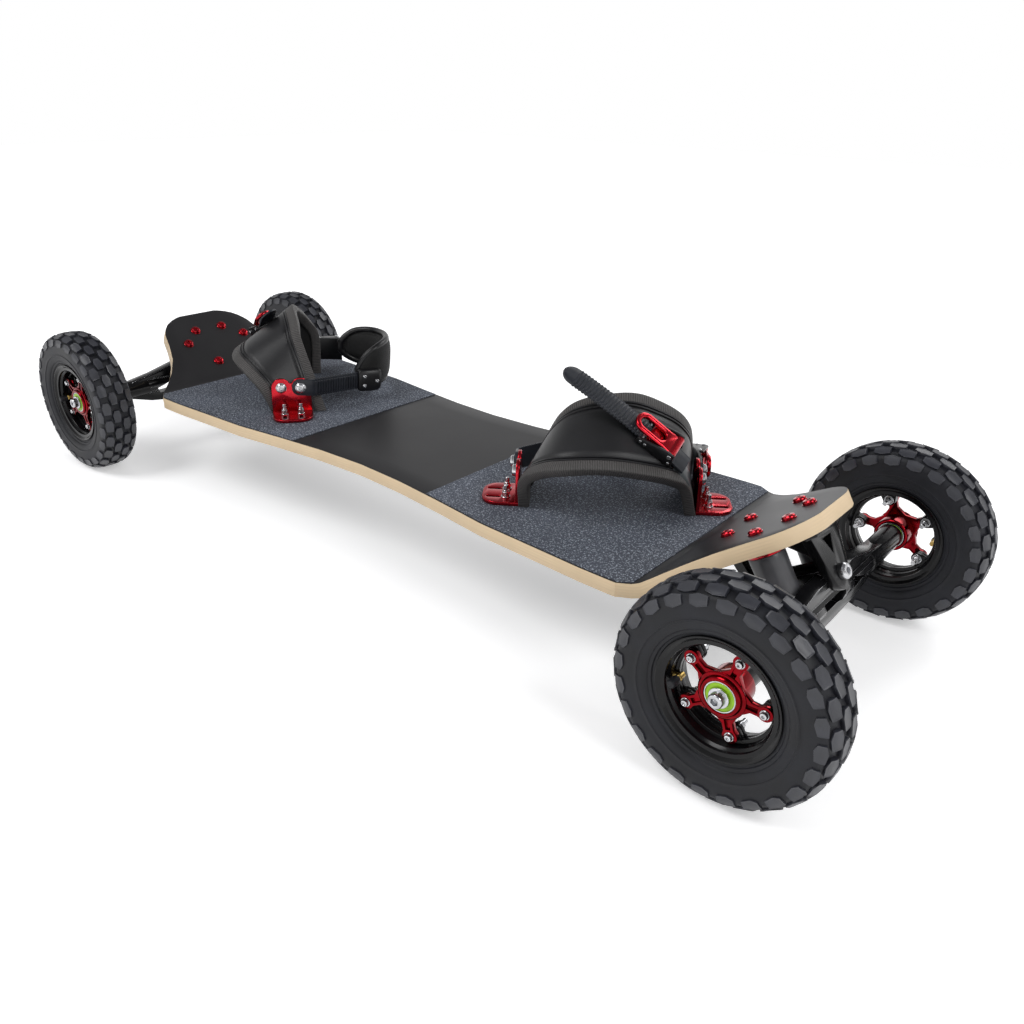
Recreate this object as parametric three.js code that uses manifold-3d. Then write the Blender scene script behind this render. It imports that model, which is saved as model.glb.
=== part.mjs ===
// A mountainboard: a bent laminated deck on two sprung trucks with four air-tyred wheels,
// and two foot bindings with ratchet straps.
// Millimetres, +X towards the nose, +Y to the rider's left, +Z up, the ground at z = 0.
import * as THREE from 'three';
import { mergeVertices } from 'three/addons/utils/BufferGeometryUtils.js';
import Module from 'manifold-3d';

const wasm = await Module();
wasm.setup();

const degree = Math.PI / 180;
const weld = 1e-4;
const sides = [1, -1];

// Clearances
const seat = 0.3;
const overrun = 2;

// Wheels
const tyreRadius = 100;
const treadDepth = 3;
const tyreHalfWidth = 25.5;
const crownHalfWidth = 22.8;
const beadSeatRadius = 47.5;
const rimLipRadius = 55.5;
const rimHalfWidth = 20.5;
const rimLipThickness = 2.5;
const rimWebThickness = 4.4;
const rimBore = 42;
const wheelFacets = 18;
const hubFacets = 12;
const spokeCount = 5;
const spokeBoltRadius = 37;
const spokeBossRadius = 6.5;
const spokeWidth = 9;
const spokeThickness = 5;
const spokeEndShare = 0.7;
const spokeStart = 108 * degree;
const hubRadius = 18;
const hubHalfLength = 14;
const bearingRadius = 14;
const bearingWidth = 8;
const bearingHalfSpan = 13.5;
const spacerRadius = 7.5;
const axleRadius = 5;
const axleHeadRadius = 7;
const axleHeadHeight = 6.5;
const axleWasherRadius = 9;
const axleWasherThickness = 2;
const axleGrip = 42;
const axleFacets = 10;
const socketRadius = 3.4;
const socketDepth = 4;
const halfTrack = 189.65;

// Tread blocks
const treadPitches = 12;
const treadGroove = 1.4;
const treadRowEdge = 11.5;
const shoulderEdge = 21.5;
const crownFall = 0.8;
const shoulderFall = 3;
const crownRound = 5;
const sidewallShares = { bulge: 0.6 };
const treadRowPhaseShare = 0.5;

// Deck
const deckThickness = 15;
const deckHalfWidth = 146.5;
const bendAt = 397;
const bendRadius = 20;
const tipAngle = 32 * degree;
const tipLength = 136;
const gripThickness = 1;
const gripInset = 1.5;
const gripInnerEnd = 117;
const gripOuterEnd = 393;

// Trucks: set back from the deck's end, then along the tip, across, and down from its top face
const truckSetback = 136;
const axleAlongTip = 91.4;
const kingpinDepth = 64.5;
const axleDrop = 22.2;
const kingpinRadius = 5;
const kingpinHeadRadius = 8;
const kingpinHeadHeight = 7;
const kingpinFacets = 10;
const baseplateThickness = 6;
const baseplateStart = 22;
const baseplateEnd = 124;
const baseplateHalfWidth = 36;
const baseplateWaist = 21;
const baseplateCorner = 8;
const baseplateNeck = 12;
const earThickness = 10;
const rearEarAt = 40;
const frontEarAt = 118;
const earBossRadius = 17;
const earTopHalfWidth = 30;
const earWindowHalfWidth = 9;
const earWindowTop = 9;
const earWindowDepth = 18;
const gussetThickness = 5;
const gussetLength = 30;
const gussetDepth = 22;
const earEndShares = [1.05, 1.95];
const pivotRadius = 14.5;
const trussThickness = 14;
const trussReach = 125;
const trussRise = 29;
const trussDrop = 28;
const axleTubeRadius = 12.5;
const tubeFacets = 12;
const earClearance = 5;
const damperAlongTip = 78;
const damperOffset = 42;
const damperRadius = 17.5;
const damperFacets = 12;
const capRadius = 18.5;
const capThickness = 6;
const wingThickness = 7;
const wingDepth = 72;
const wingRadius = 20.5;
const wingShares = { middle: 0.7, root: 0.9, reach: 0.7 };

// Bindings: width from inboard to outboard, then toe to heel, then up
const bindingBeforeBend = 1;
const bindingOffset = -8;
const stanceAngle = 36 * degree;
const bindingHalfWidth = 93;
const plateThickness = 4;
const bracketWidth = 52;
const bracketReach = 41;
const bracketBoltPitch = 25;
const bracketBoltHeight = 36;
const bracketLobeRadius = 12.5;
const bracketCorner = 18;
const bracketLobeShare = 0.85;
const slotLength = 16;
const slotWidth = 4.6;
const slotPitch = 21;
const padThickness = 6.5;
const padRimThickness = 11;
const padRimWidth = 13;
const padStations = 20;
const padLength = 100;
const padHeight = 119;

// Straps and ratchets
const strapWidth = 25;
const strapThickness = 3;
const strapRibDepth = 1.2;
const strapRibPitch = 8;
const strapRootLength = 38;
const strapRootLevel = 2.6;
const strapTailLength = 100;
const strapTailDrop = 7;
const shortTailShare = 0.4;
const buckleLength = 44;
const buckleWidth = 33;
const buckleFloor = 2;
const buckleWall = 2.5;
const buckleWallHeight = 17;
const buckleNoseHeight = 7;
const leverPivotAt = -14;
const leverPivotHeight = 12.6;
const leverDrumRadius = 4.6;
const leverLength = 50;
const leverWidth = 25;
const leverThickness = 5;
const leverOpeningLength = 30;
const leverOpeningWidth = 13;
const leverFacets = 8;

// Heel strap
const frontHeelRise = -11 * degree;
const rearHeelRise = -4 * degree;
const heelStrapWidth = 24;
const heelBuckleAt = 46;
const heelTongueRadius = 11;
const heelLadderInset = 36;
const heelClampAt = 80;
const heelClampLength = 28;
const heelClampThickness = 13;
const heelClampWidth = 29;
const heelReach = 123;
const heelPadHeight = 56;
const heelPadThickness = 13;
const heelArmThickness = 4;

// Places worked out from the sizes above
const beadHalfWidth = rimHalfWidth - rimLipThickness - seat;
const axleDepth = kingpinDepth + axleDrop;
const axleHeight = tyreRadius;
const truckStart = tipLength - truckSetback;
const axleFromBend = truckStart + axleAlongTip;
const deckTop = axleHeight - axleFromBend * Math.sin(tipAngle) + axleDepth * Math.cos(tipAngle);
const axleAt = bendAt + axleFromBend * Math.cos(tipAngle) + axleDepth * Math.sin(tipAngle);
const bendTangent = bendRadius * Math.tan(tipAngle / 2);
const bendStart = bendAt - bendTangent;
const bendLength = bendRadius * tipAngle;
const deckHalfLength = bendStart + bendLength + tipLength - bendTangent;
const bracketCornerAt = (bindingHalfWidth + bracketReach - bracketCorner) * Math.cos(stanceAngle)
  + (bracketWidth / 2 - bracketCorner) * Math.sin(stanceAngle) + bracketCorner;
const bindingAt = bendStart - bindingBeforeBend - bracketCornerAt;
const bindingFloor = deckTop + gripThickness + seat;
const pitch = 2 * Math.PI / treadPitches;

// Materials
const finish = (color, roughness, metalness = 0) => () =>
  new THREE.MeshStandardMaterial({ color, roughness, metalness });
const laminate = finish(0x1d1d20, 0.45);
const tyreRubber = finish(0x24262a, 0.8);
const blackMetal = finish(0x0c0c0e, 0.25, 0.8);
const redMetal = finish(0xa80f22, 0.28, 0.85);
const steel = finish(0xb9bbbe, 0.25, 1);
const limeShield = finish(0x9bd313, 0.4);
const darkUrethane = finish(0x4a4c50, 0.5);
const moulded = finish(0x1b1b1d, 0.6);
const softPad = finish(0x161617, 0.9);
const strapPlastic = finish(0x1f2023, 0.5);

// Solids and meshes
function fromGeometry(geometry) {
  const bare = geometry.clone();
  for (const key of ['normal', 'uv']) bare.deleteAttribute(key);
  const merged = mergeVertices(bare, weld);
  const vertProperties = new Float32Array(merged.attributes.position.array);
  const triVerts = new Uint32Array(merged.index.array);
  if (signedVolume(vertProperties, triVerts) < 0) triVerts.reverse();
  return new wasm.Manifold(new wasm.Mesh({ numProp: 3, vertProperties, triVerts }));
}

function signedVolume(points, triangles) {
  const corner = (i) => new THREE.Vector3().fromArray(points, 3 * triangles[i]);
  let volume = 0;
  for (let i = 0; i < triangles.length; i += 3) {
    volume += corner(i).dot(corner(i + 1).cross(corner(i + 2)));
  }
  return volume / 6;
}

function toGeometry(solid) {
  const data = solid.getMesh();
  const geometry = new THREE.BufferGeometry();
  geometry.setAttribute('position', new THREE.BufferAttribute(data.vertProperties, 3));
  geometry.setIndex(new THREE.BufferAttribute(data.triVerts, 1));
  geometry.computeVertexNormals();
  return geometry;
}

function mesh(name, solid, material) {
  const geometry = solid.isBufferGeometry ? solid : toGeometry(solid);
  const made = new THREE.Mesh(geometry, material());
  made.name = name;
  return made;
}

// A turned solid about the Y axis. Its profile is [radius, along] and closes on itself or on the axis.
function turned(profile, facets) {
  const points = profile.map(([radius, along]) => new THREE.Vector2(radius, along));
  if (profile[0][0] > 0) points.push(points[0].clone());
  return fromGeometry(new THREE.LatheGeometry(points, facets));
}

// The same, with the axis along X
const turnedAlongX = (profile, facets) => turned(profile, facets).rotate([0, 0, -90]);

// The same, with the axis along Z
const turnedAlongZ = (profile, facets) => turned(profile, facets).rotate([90, 0, 0]);

function extruded(outline, depth, holes = []) {
  const vectors = (points) => points.map(([x, y]) => new THREE.Vector2(x, y));
  const shape = new THREE.Shape(vectors(outline));
  for (const hole of holes) shape.holes.push(new THREE.Path(vectors(hole)));
  return fromGeometry(new THREE.ExtrudeGeometry(shape, { depth, bevelEnabled: false }));
}

// An outline drawn across (Y) and up (Z), extruded along X from a start
const extrudedAlongX = (outline, start, depth, holes) =>
  extruded(outline, depth, holes).rotate([90, 0, 90]).translate([start, 0, 0]);

// A solid through rings of as many points each, with flat ends
function lofted(rings) {
  const count = rings[0].length;
  const positions = rings.flat().flatMap((p) => [p.x, p.y, p.z]);
  const index = [];
  for (let r = 0; r + 1 < rings.length; r++) {
    for (let i = 0; i < count; i++) {
      const a = r * count + i;
      const b = r * count + (i + 1) % count;
      index.push(a, b, b + count, a, b + count, a + count);
    }
  }
  const last = (rings.length - 1) * count;
  for (const [a, b, c] of capTriangles(rings[0])) index.push(c, b, a);
  for (const [a, b, c] of capTriangles(rings[rings.length - 1])) index.push(last + a, last + b, last + c);
  const geometry = new THREE.BufferGeometry();
  geometry.setAttribute('position', new THREE.Float32BufferAttribute(positions, 3));
  geometry.setIndex(index);
  return fromGeometry(geometry);
}

// The triangles of a flat ring, wound as the ring runs
function capTriangles(ring) {
  const normal = new THREE.Vector3();
  ring.forEach((p, i) => {
    normal.add(new THREE.Vector3().crossVectors(p, ring[(i + 1) % ring.length]));
  });
  normal.normalize();
  const across = new THREE.Vector3().subVectors(ring[1], ring[0]).normalize();
  const up = new THREE.Vector3().crossVectors(normal, across);
  const flat = ring.map((p) => new THREE.Vector2(p.dot(across), p.dot(up)));
  return THREE.ShapeUtils.triangulateShape(flat, []);
}

const joined = (solids) => solids.reduce((all, next) => all.add(next));
const point = (x, y, z) => new THREE.Vector3(x, y, z);

// An arc as [x, y] points, from one angle to another
function arc(x, y, radius, from, to, steps) {
  return Array.from({ length: steps + 1 }, (_, i) => {
    const angle = from + (to - from) * i / steps;
    return [x + radius * Math.cos(angle), y + radius * Math.sin(angle)];
  });
}

// A table of [place share, value share] pairs, read between its rows
function readShares(table, place) {
  const next = Math.max(1, table.findIndex(([p]) => p >= place));
  const [p0, v0] = table[next - 1];
  const [p1, v1] = table[next];
  return v0 + (v1 - v0) * Math.min(1, (place - p0) / (p1 - p0));
}

// The tyre, with rows of raised tread blocks
function makeTyre() {
  const base = tyreRadius - treadDepth;
  const half = [
    [beadSeatRadius + seat, beadHalfWidth],
    [rimLipRadius + seat, beadHalfWidth],
    [rimLipRadius + sidewallShares.bulge * (base - rimLipRadius), tyreHalfWidth],
    [base - crownRound, crownHalfWidth],
    [base, treadRowEdge],
  ];
  const mirrored = half.map(([r, y]) => [r, -y]).reverse();
  let tyre = turned([...half, ...mirrored], wheelFacets);
  for (const side of sides) {
    for (let i = 0; i < treadPitches; i++) {
      const at = (i + centreRow.innerShare / 2 + (side > 0 ? 0 : treadRowPhaseShare)) * pitch;
      tyre = tyre.add(treadBlock(at, side * treadGroove, side * (treadRowEdge - treadGroove / 2), centreRow));
      tyre = tyre.add(treadBlock(at + pitch / 2, side * treadRowEdge, side * shoulderEdge, shoulderRow));
    }
  }
  return tyre;
}

// Rows of blocks: how much of the pitch a block fills at its inner and outer side, and its fall there
const centreRow = { innerShare: 0.6, outerShare: 0.34, innerFall: 0, outerFall: crownFall };
const shoulderRow = { innerShare: 0.4, outerShare: 0.66, innerFall: crownFall, outerFall: shoulderFall };

function treadBlock(at, inner, outer, row) {
  const sunk = tyreRadius - 2 * treadDepth - shoulderFall;
  const corners = [
    [-row.innerShare, inner, row.innerFall],
    [row.innerShare, inner, row.innerFall],
    [row.outerShare, outer, row.outerFall],
    [-row.outerShare, outer, row.outerFall],
  ];
  const place = (share, y, radius) => {
    const angle = at + share * pitch / 2;
    return point(radius * Math.sin(angle), y, -radius * Math.cos(angle));
  };
  const top = corners.map(([share, y, fall]) => place(share, y, tyreRadius - fall));
  const bottom = corners.map(([share, y]) => place(share, y, sunk));
  return lofted([bottom, top]);
}

const spokeAngles = Array.from({ length: spokeCount }, (_, i) => spokeStart + i * 2 * Math.PI / spokeCount);

// One half of the split rim: lip, bead seat, dished web and inward lugs. Outboard is +Y.
function makeRimHalf(side) {
  const split = seat / 2;
  const web = split + rimWebThickness;
  const profile = [
    [rimBore, split],
    [beadSeatRadius, split],
    [beadSeatRadius, beadHalfWidth + seat],
    [rimLipRadius, beadHalfWidth + seat],
    [rimLipRadius, rimHalfWidth],
    [beadSeatRadius - rimLipThickness, beadHalfWidth - 2 * rimLipThickness],
    [beadSeatRadius - rimLipThickness, web],
    [rimBore, web],
  ];
  const solid = turned(profile.map(([r, y]) => [r, side * y]), wheelFacets);
  const start = side > 0 ? split : -web;
  const lugs = spokeAngles.map((angle) => {
    const outline = [
      [rimBore + overrun / 2, -spokeBossRadius - overrun],
      [rimBore + overrun / 2, spokeBossRadius + overrun],
      ...arc(spokeBoltRadius, 0, spokeBossRadius, Math.PI / 2, 3 * Math.PI / 2, 3),
    ];
    return extruded(outline, rimWebThickness)
      .rotate([0, 0, angle / degree])
      .rotate([90, 0, 0])
      .translate([0, start + rimWebThickness, 0]);
  });
  return joined([solid, ...lugs]);
}

// The star hub: a bored barrel with five spokes bolted to the rim's lugs
function makeHub() {
  const bore = bearingRadius + seat;
  const barrel = turned([
    [bore, -hubHalfLength],
    [hubRadius, -hubHalfLength],
    [hubRadius, hubHalfLength],
    [bore, hubHalfLength],
  ], hubFacets);
  const root = 2 * Math.PI / spokeCount / 2;
  const halfWidth = spokeWidth / 2;
  const outline = spokeAngles.flatMap((angle) => {
    const turn = ([x, y]) => [
      x * Math.cos(angle) - y * Math.sin(angle),
      x * Math.sin(angle) + y * Math.cos(angle),
    ];
    return [
      [(hubRadius + overrun) * Math.cos(root), -(hubRadius + overrun) * Math.sin(root)],
      [hubRadius + 2 * overrun, -halfWidth],
      ...arc(spokeBoltRadius, 0, spokeBossRadius, -spokeEndShare * Math.PI, spokeEndShare * Math.PI, 4),
      [hubRadius + 2 * overrun, halfWidth],
    ].map(turn);
  });
  const face = rimWebThickness + 1.5 * seat + spokeThickness;
  const eye = arc(0, 0, bore + overrun / 2, 0, -2 * Math.PI * (1 - 1 / hubFacets), hubFacets - 1);
  const star = extruded(outline, spokeThickness, [eye]).rotate([90, 0, 0]).translate([0, face, 0]);
  return barrel.add(star);
}

// Two bearings and the spacer between them
function makeBearings() {
  const bore = axleRadius + seat;
  const inner = bearingHalfSpan - bearingWidth;
  return turned([
    [bore, -bearingHalfSpan],
    [bearingRadius, -bearingHalfSpan],
    [bearingRadius, -inner],
    [spacerRadius, -inner],
    [spacerRadius, inner],
    [bearingRadius, inner],
    [bearingRadius, bearingHalfSpan],
    [bore, bearingHalfSpan],
  ], hubFacets);
}

// The stub axle: a socket head, its washer and the shank that screws into the truck
function makeAxle() {
  const washer = bearingHalfSpan + seat;
  const head = washer + axleWasherThickness;
  const face = head + axleHeadHeight;
  return turned([
    [0, -bearingHalfSpan - axleGrip],
    [axleRadius, -bearingHalfSpan - axleGrip],
    [axleRadius, washer],
    [axleWasherRadius, washer],
    [axleWasherRadius, head],
    [axleHeadRadius, head],
    [axleHeadRadius, face],
    [socketRadius, face],
    [socketRadius, face - socketDepth],
    [0, face - socketDepth],
  ], axleFacets);
}

// The deck's top line: where it is, and which way is up, at a length from the middle
function onDeck(along) {
  const reach = Math.abs(along);
  const sign = Math.sign(along) || 1;
  const turn = THREE.MathUtils.clamp((reach - bendStart) / bendRadius, 0, tipAngle);
  const straight = Math.max(0, reach - bendStart - bendLength);
  const flat = Math.min(reach, bendStart);
  const x = flat + bendRadius * Math.sin(turn) + straight * Math.cos(tipAngle);
  const z = deckTop + bendRadius * (1 - Math.cos(turn)) + straight * Math.sin(tipAngle);
  return { at: point(sign * x, 0, z), up: point(-sign * Math.sin(turn), 0, Math.cos(turn)) };
}

const deckOutlineShares = [
  [0, 0.808], [0.13, 0.831], [0.263, 0.887], [0.395, 0.953], [0.526, 0.976], [0.639, 0.998],
  [0.714, 1], [0.745, 0.931], [0.777, 0.805], [0.806, 0.71], [0.851, 0.6], [0.9, 0.532],
  [0.94, 0.491], [0.96, 0.45], [0.979, 0.382], [0.99, 0.314], [0.997, 0.246], [1, 0.2],
];
const bendStationShares = [0.25, 0.5, 0.75];
const deckWidthAt = (along) => deckHalfWidth * readShares(deckOutlineShares, Math.abs(along) / deckHalfLength);

// A layer of the deck between two heights over its top line
function deckLayer(stations, low, high, inset) {
  return lofted(stations.map((along) => {
    const { at, up } = onDeck(along);
    const half = deckWidthAt(along) - inset;
    const corner = (side, height) => at.clone().addScaledVector(up, height).setY(side * half);
    return [corner(-1, low), corner(1, low), corner(1, high), corner(-1, high)];
  }));
}

function makeDeck() {
  const bend = bendStationShares.map((share) => (bendStart + share * bendLength) / deckHalfLength);
  const shares = [...deckOutlineShares.map(([share]) => share), ...bend].sort((a, b) => a - b);
  const half = shares.map((share) => share * deckHalfLength);
  const stations = [...half.slice(1).map((along) => -along).reverse(), ...half];
  return joined([deckLayer(stations, -deckThickness, 0, 0), makeGrip(1), makeGrip(-1)]);
}

// The grip sheet glued to one half of the deck
function makeGrip(sign) {
  const inner = deckOutlineShares.map(([share]) => share * deckHalfLength);
  const within = inner.filter((along) => along > gripInnerEnd + gripInset && along < gripOuterEnd - gripInset);
  const stations = [gripInnerEnd, ...within, gripOuterEnd].sort((a, b) => a - b);
  return deckLayer(stations.map((along) => sign * along), -gripThickness, gripThickness, gripInset);
}

// The truck's baseplate: a waisted plate under the tip, two windowed ears and their gussets
function makeBaseplate() {
  const top = -deckThickness - seat;
  const under = top - baseplateThickness;
  const waistStart = damperAlongTip - capRadius - overrun;
  const waistEnd = damperAlongTip + capRadius + overrun;
  const half = [
    [baseplateStart, baseplateHalfWidth - 2 * baseplateCorner],
    [baseplateStart + baseplateCorner, baseplateHalfWidth],
    [waistStart - baseplateNeck, baseplateHalfWidth],
    [waistStart, baseplateWaist],
    [waistEnd, baseplateWaist],
    [waistEnd + baseplateCorner / 4, baseplateHalfWidth],
    [baseplateEnd - baseplateCorner, baseplateHalfWidth],
    [baseplateEnd, baseplateHalfWidth - baseplateCorner],
  ];
  const outline = [...half, ...half.map(([x, y]) => [x, -y]).reverse()];
  const plate = extruded(outline, baseplateThickness).translate([0, 0, under]);
  const ears = [rearEarAt - earThickness, frontEarAt - earThickness].map((start) => makeEar(start, under));
  const gussets = sides.map((side) => {
    const start = frontEarAt - earThickness - gussetLength;
    const profile = [
      [start, under + overrun / 2],
      [start + gussetLength + overrun, under + overrun / 2],
      [start + gussetLength + overrun, under - gussetDepth],
      [start + gussetLength, under - gussetDepth],
    ];
    return extruded(profile, gussetThickness)
      .rotate([90, 0, 0])
      .translate([0, side * (baseplateWaist - gussetThickness) + gussetThickness / 2, 0]);
  });
  return joined([plate, ...ears, ...gussets]);
}

function makeEar(start, under) {
  const pin = -kingpinDepth;
  const outline = [
    [-earTopHalfWidth, under + overrun],
    ...arc(0, pin, earBossRadius, Math.PI * earEndShares[0], Math.PI * earEndShares[1], 8),
    [earTopHalfWidth, under + overrun],
  ];
  const window = [
    [-earWindowHalfWidth, under - earWindowTop + overrun],
    [0, under - earWindowTop - earWindowDepth + overrun],
    [earWindowHalfWidth, under - earWindowTop + overrun],
  ];
  const bore = arc(0, pin, kingpinRadius + seat, 0, -2 * Math.PI * (1 - 1 / kingpinFacets), kingpinFacets - 1);
  return extrudedAlongX(outline, start, earThickness, [window, bore]);
}

function makeKingpin() {
  const head = frontEarAt + seat;
  const nut = rearEarAt - earThickness - seat;
  return turnedAlongX([
    [0, nut - kingpinHeadHeight],
    [kingpinHeadRadius, nut - kingpinHeadHeight],
    [kingpinHeadRadius, nut],
    [kingpinRadius, nut],
    [kingpinRadius, head],
    [kingpinHeadRadius, head],
    [kingpinHeadRadius, head + kingpinHeadHeight - overrun],
    [kingpinHeadRadius - overrun, head + kingpinHeadHeight],
    [0, head + kingpinHeadHeight],
  ], kingpinFacets).translate([0, 0, -kingpinDepth]);
}

// The hanger: a pivot tube between the ears, a windowed upright truss, the wing under the dampers
// and the tube that takes both axles. The truss is drawn across and up from the axle line.
const trussShares = [[0.1, -1], [0.55, -0.93], [0.75, -0.79], [1, -0.45], [1, 0.4], [0.7, 0.62], [0.34, 1]];
const windowShares = {
  centre: [[-0.14, -0.34], [0.14, -0.34], [0.21, 0.25], [-0.21, 0.25]],
  side: [[0.32, -0.42], [0.62, -0.46], [0.67, -0.14], [0.37, 0.28]],
};

const trussPoint = ([across, up]) => [across * trussReach, up * (up > 0 ? trussRise : trussDrop)];

function onAxleLine(solid) {
  return solid.rotate([0, tipAngle / degree, 0]).translate([axleAlongTip, 0, -axleDepth]);
}

function makeHanger() {
  const pivotStart = rearEarAt + seat;
  const pivotEnd = frontEarAt - earThickness - seat;
  const pivot = alongKingpin(pivotRadius, pivotStart, pivotEnd, tubeFacets);
  const tubeEnd = halfTrack - bearingHalfSpan - seat;
  const tube = turned([
    [0, -tubeEnd], [axleTubeRadius, -tubeEnd], [axleTubeRadius, tubeEnd], [0, tubeEnd],
  ], tubeFacets).translate([axleAlongTip, 0, -axleDepth]);
  const trussHalf = trussShares.map(trussPoint);
  const trussOutline = [...trussHalf, ...trussHalf.map(([y, z]) => [-y, z]).reverse()];
  const truss = onAxleLine(extrudedAlongX(trussOutline, -trussThickness / 2, trussThickness));
  const wingHalf = [
    [damperAlongTip - wingShares.middle * wingRadius, 0],
    [damperAlongTip - wingShares.root * wingRadius, damperOffset - wingRadius / 2],
    ...arc(damperAlongTip, damperOffset, wingRadius, Math.PI, Math.PI / 3, 5),
    [axleAlongTip, wingShares.reach * trussReach],
    [axleAlongTip + trussThickness / 7, 0],
  ];
  const wingOutline = [...wingHalf, ...wingHalf.slice(1, -1).map(([x, y]) => [x, -y]).reverse()];
  const wing = extruded(wingOutline, wingThickness).translate([0, 0, -wingDepth - wingThickness]);

  const through = 2 * (axleTubeRadius + overrun);
  const windows = [windowShares.centre, windowShares.side, windowShares.side.map(([y, z]) => [-y, z])]
    .map((shares) => onAxleLine(extrudedAlongX(shares.map(trussPoint), -through / 2, through)));
  const bores = sides.map((side) => turned([
    [0, 0], [axleRadius + seat, 0], [axleRadius + seat, axleGrip + overrun], [0, axleGrip + overrun],
  ], axleFacets).translate([axleAlongTip, side > 0 ? tubeEnd - axleGrip : -tubeEnd - overrun, -axleDepth]));
  const pinBore = alongKingpin(kingpinRadius + seat, pivotStart - overrun, pivotEnd + overrun, kingpinFacets);
  const earRoom = alongKingpin(earBossRadius + earClearance, pivotEnd, frontEarAt + overrun, tubeFacets);
  const pockets = sides.map((side) => turnedAlongZ([
    [0, -wingDepth], [damperRadius + seat, -wingDepth], [damperRadius + seat, 0], [0, 0],
  ], damperFacets).translate(cappedAt(side)));
  return [...windows, ...bores, pinBore, earRoom, ...pockets].reduce(
    (solid, cut) => solid.subtract(cut),
    joined([pivot, tube, truss, wing]),
  );
}

function alongKingpin(radius, start, end, facets) {
  return turnedAlongX([[0, start], [radius, start], [radius, end], [0, end]], facets)
    .translate([0, 0, -kingpinDepth]);
}

const cappedAt = (side) => [damperAlongTip, side * damperOffset, 0];

function makeDamperCap(side) {
  const top = -deckThickness - seat;
  return turnedAlongZ([
    [0, top], [capRadius - overrun / 2, top], [capRadius, top - overrun / 2],
    [capRadius, top - capThickness], [0, top - capThickness],
  ], damperFacets).translate(cappedAt(side));
}

function makeDamper(side) {
  const top = -deckThickness - 2 * seat - capThickness;
  const foot = -wingDepth + seat;
  return turnedAlongZ([[0, top], [damperRadius, top], [damperRadius, foot], [0, foot]], damperFacets)
    .translate(cappedAt(side));
}

// The L-shaped bracket: a slotted foot on the deck and a two-lobed upright. Outwards is +X.
function makeBracket() {
  const half = bracketWidth / 2;
  const foot = [
    [0, -half],
    [bracketReach - bracketCorner, -half],
    ...arc(bracketReach - bracketCorner, bracketCorner - half, bracketCorner, -Math.PI / 2, 0, 3).slice(1),
    ...arc(bracketReach - bracketCorner, half - bracketCorner, bracketCorner, 0, Math.PI / 2, 3),
    [0, half],
  ];
  const slots = sides.map((side) => {
    const across = side * slotPitch / 2;
    const start = bracketReach - slotLength - slotWidth;
    return [
      ...arc(start + slotWidth / 2, across, slotWidth / 2, 1.5 * Math.PI, Math.PI / 2, 2),
      ...arc(start + slotLength - slotWidth / 2, across, slotWidth / 2, Math.PI / 2, -Math.PI / 2, 2),
    ];
  });
  const plate = extruded(foot, plateThickness, slots);
  const bolt = bracketBoltPitch / 2;
  const upright = [
    [-half, 0],
    [half, 0],
    ...arc(bolt, bracketBoltHeight, bracketLobeRadius, 0, bracketLobeShare * Math.PI, 4),
    ...arc(-bolt, bracketBoltHeight, bracketLobeRadius, (1 - bracketLobeShare) * Math.PI, Math.PI, 4),
  ];
  return plate.add(extrudedAlongX(upright, 0, plateThickness));
}

// The pad's two rims, from the inboard foot over to the outboard one, as shares of the half width,
// of the pad's length and of its height
const toeRimShares = [
  [-1, -0.27, 0], [-1, -0.4, 0.292], [-0.793, -0.591, 0.456], [-0.496, -0.728, 0.538],
  [-0.057, -0.716, 0.547], [0.382, -0.642, 0.493], [0.673, -0.541, 0.42], [0.874, -0.41, 0.303],
  [1, -0.28, 0],
];
const heelRimShares = [
  [-1, 0.44, 0], [-0.743, 0.289, 0.471], [-0.557, 0.184, 0.779], [-0.283, 0.152, 0.928],
  [0.213, 0.12, 1], [0.583, 0.2, 0.899], [0.863, 0.32, 0.731], [0.985, 0.46, 0.487], [1, 0.46, 0],
];
const padNormalShare = 0.01;

const rimCurve = (shares) => new THREE.CatmullRomCurve3(shares.map(([across, back, up]) =>
  point(across * (bindingHalfWidth - seat), back * padLength, up * padHeight)), false, 'catmullrom');
const toeRim = rimCurve(toeRimShares);
const heelRim = rimCurve(heelRimShares);

// A point of the pad's outer face: across from 0 at the inboard foot to 1, back from toe to heel
const onPad = (across, back) => toeRim.getPoint(across).lerp(heelRim.getPoint(across), back);

function padNormal(across, back) {
  const lo = Math.max(0, across - padNormalShare);
  const hi = Math.min(1, across + padNormalShare);
  const along = onPad(hi, back).sub(onPad(lo, back));
  const backwards = onPad(across, 1).sub(onPad(across, 0));
  return along.cross(backwards).normalize();
}

// The moulded instep pad with its foam lining: an arch from bracket to bracket, thick at both rims
function makePadShell() {
  const rings = [];
  for (let i = 0; i <= padStations; i++) {
    const across = i / padStations;
    const run = onPad(across, 1).distanceTo(onPad(across, 0));
    const rim = padRimWidth / run;
    const outer = [0, rim, 0.5, 1 - rim, 1];
    const depth = [padRimThickness, padThickness, padThickness, padThickness, padRimThickness];
    const inside = outer.map((back, k) => insidePad(across, back, depth[k]));
    rings.push([...outer.map((back) => onPad(across, back)), ...inside.reverse()]);
  }
  return lofted(rings);
}

function insidePad(across, back, depth) {
  const inner = onPad(across, back).addScaledVector(padNormal(across, back), -depth);
  inner.z = Math.max(inner.z, 0);
  return inner;
}

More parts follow.
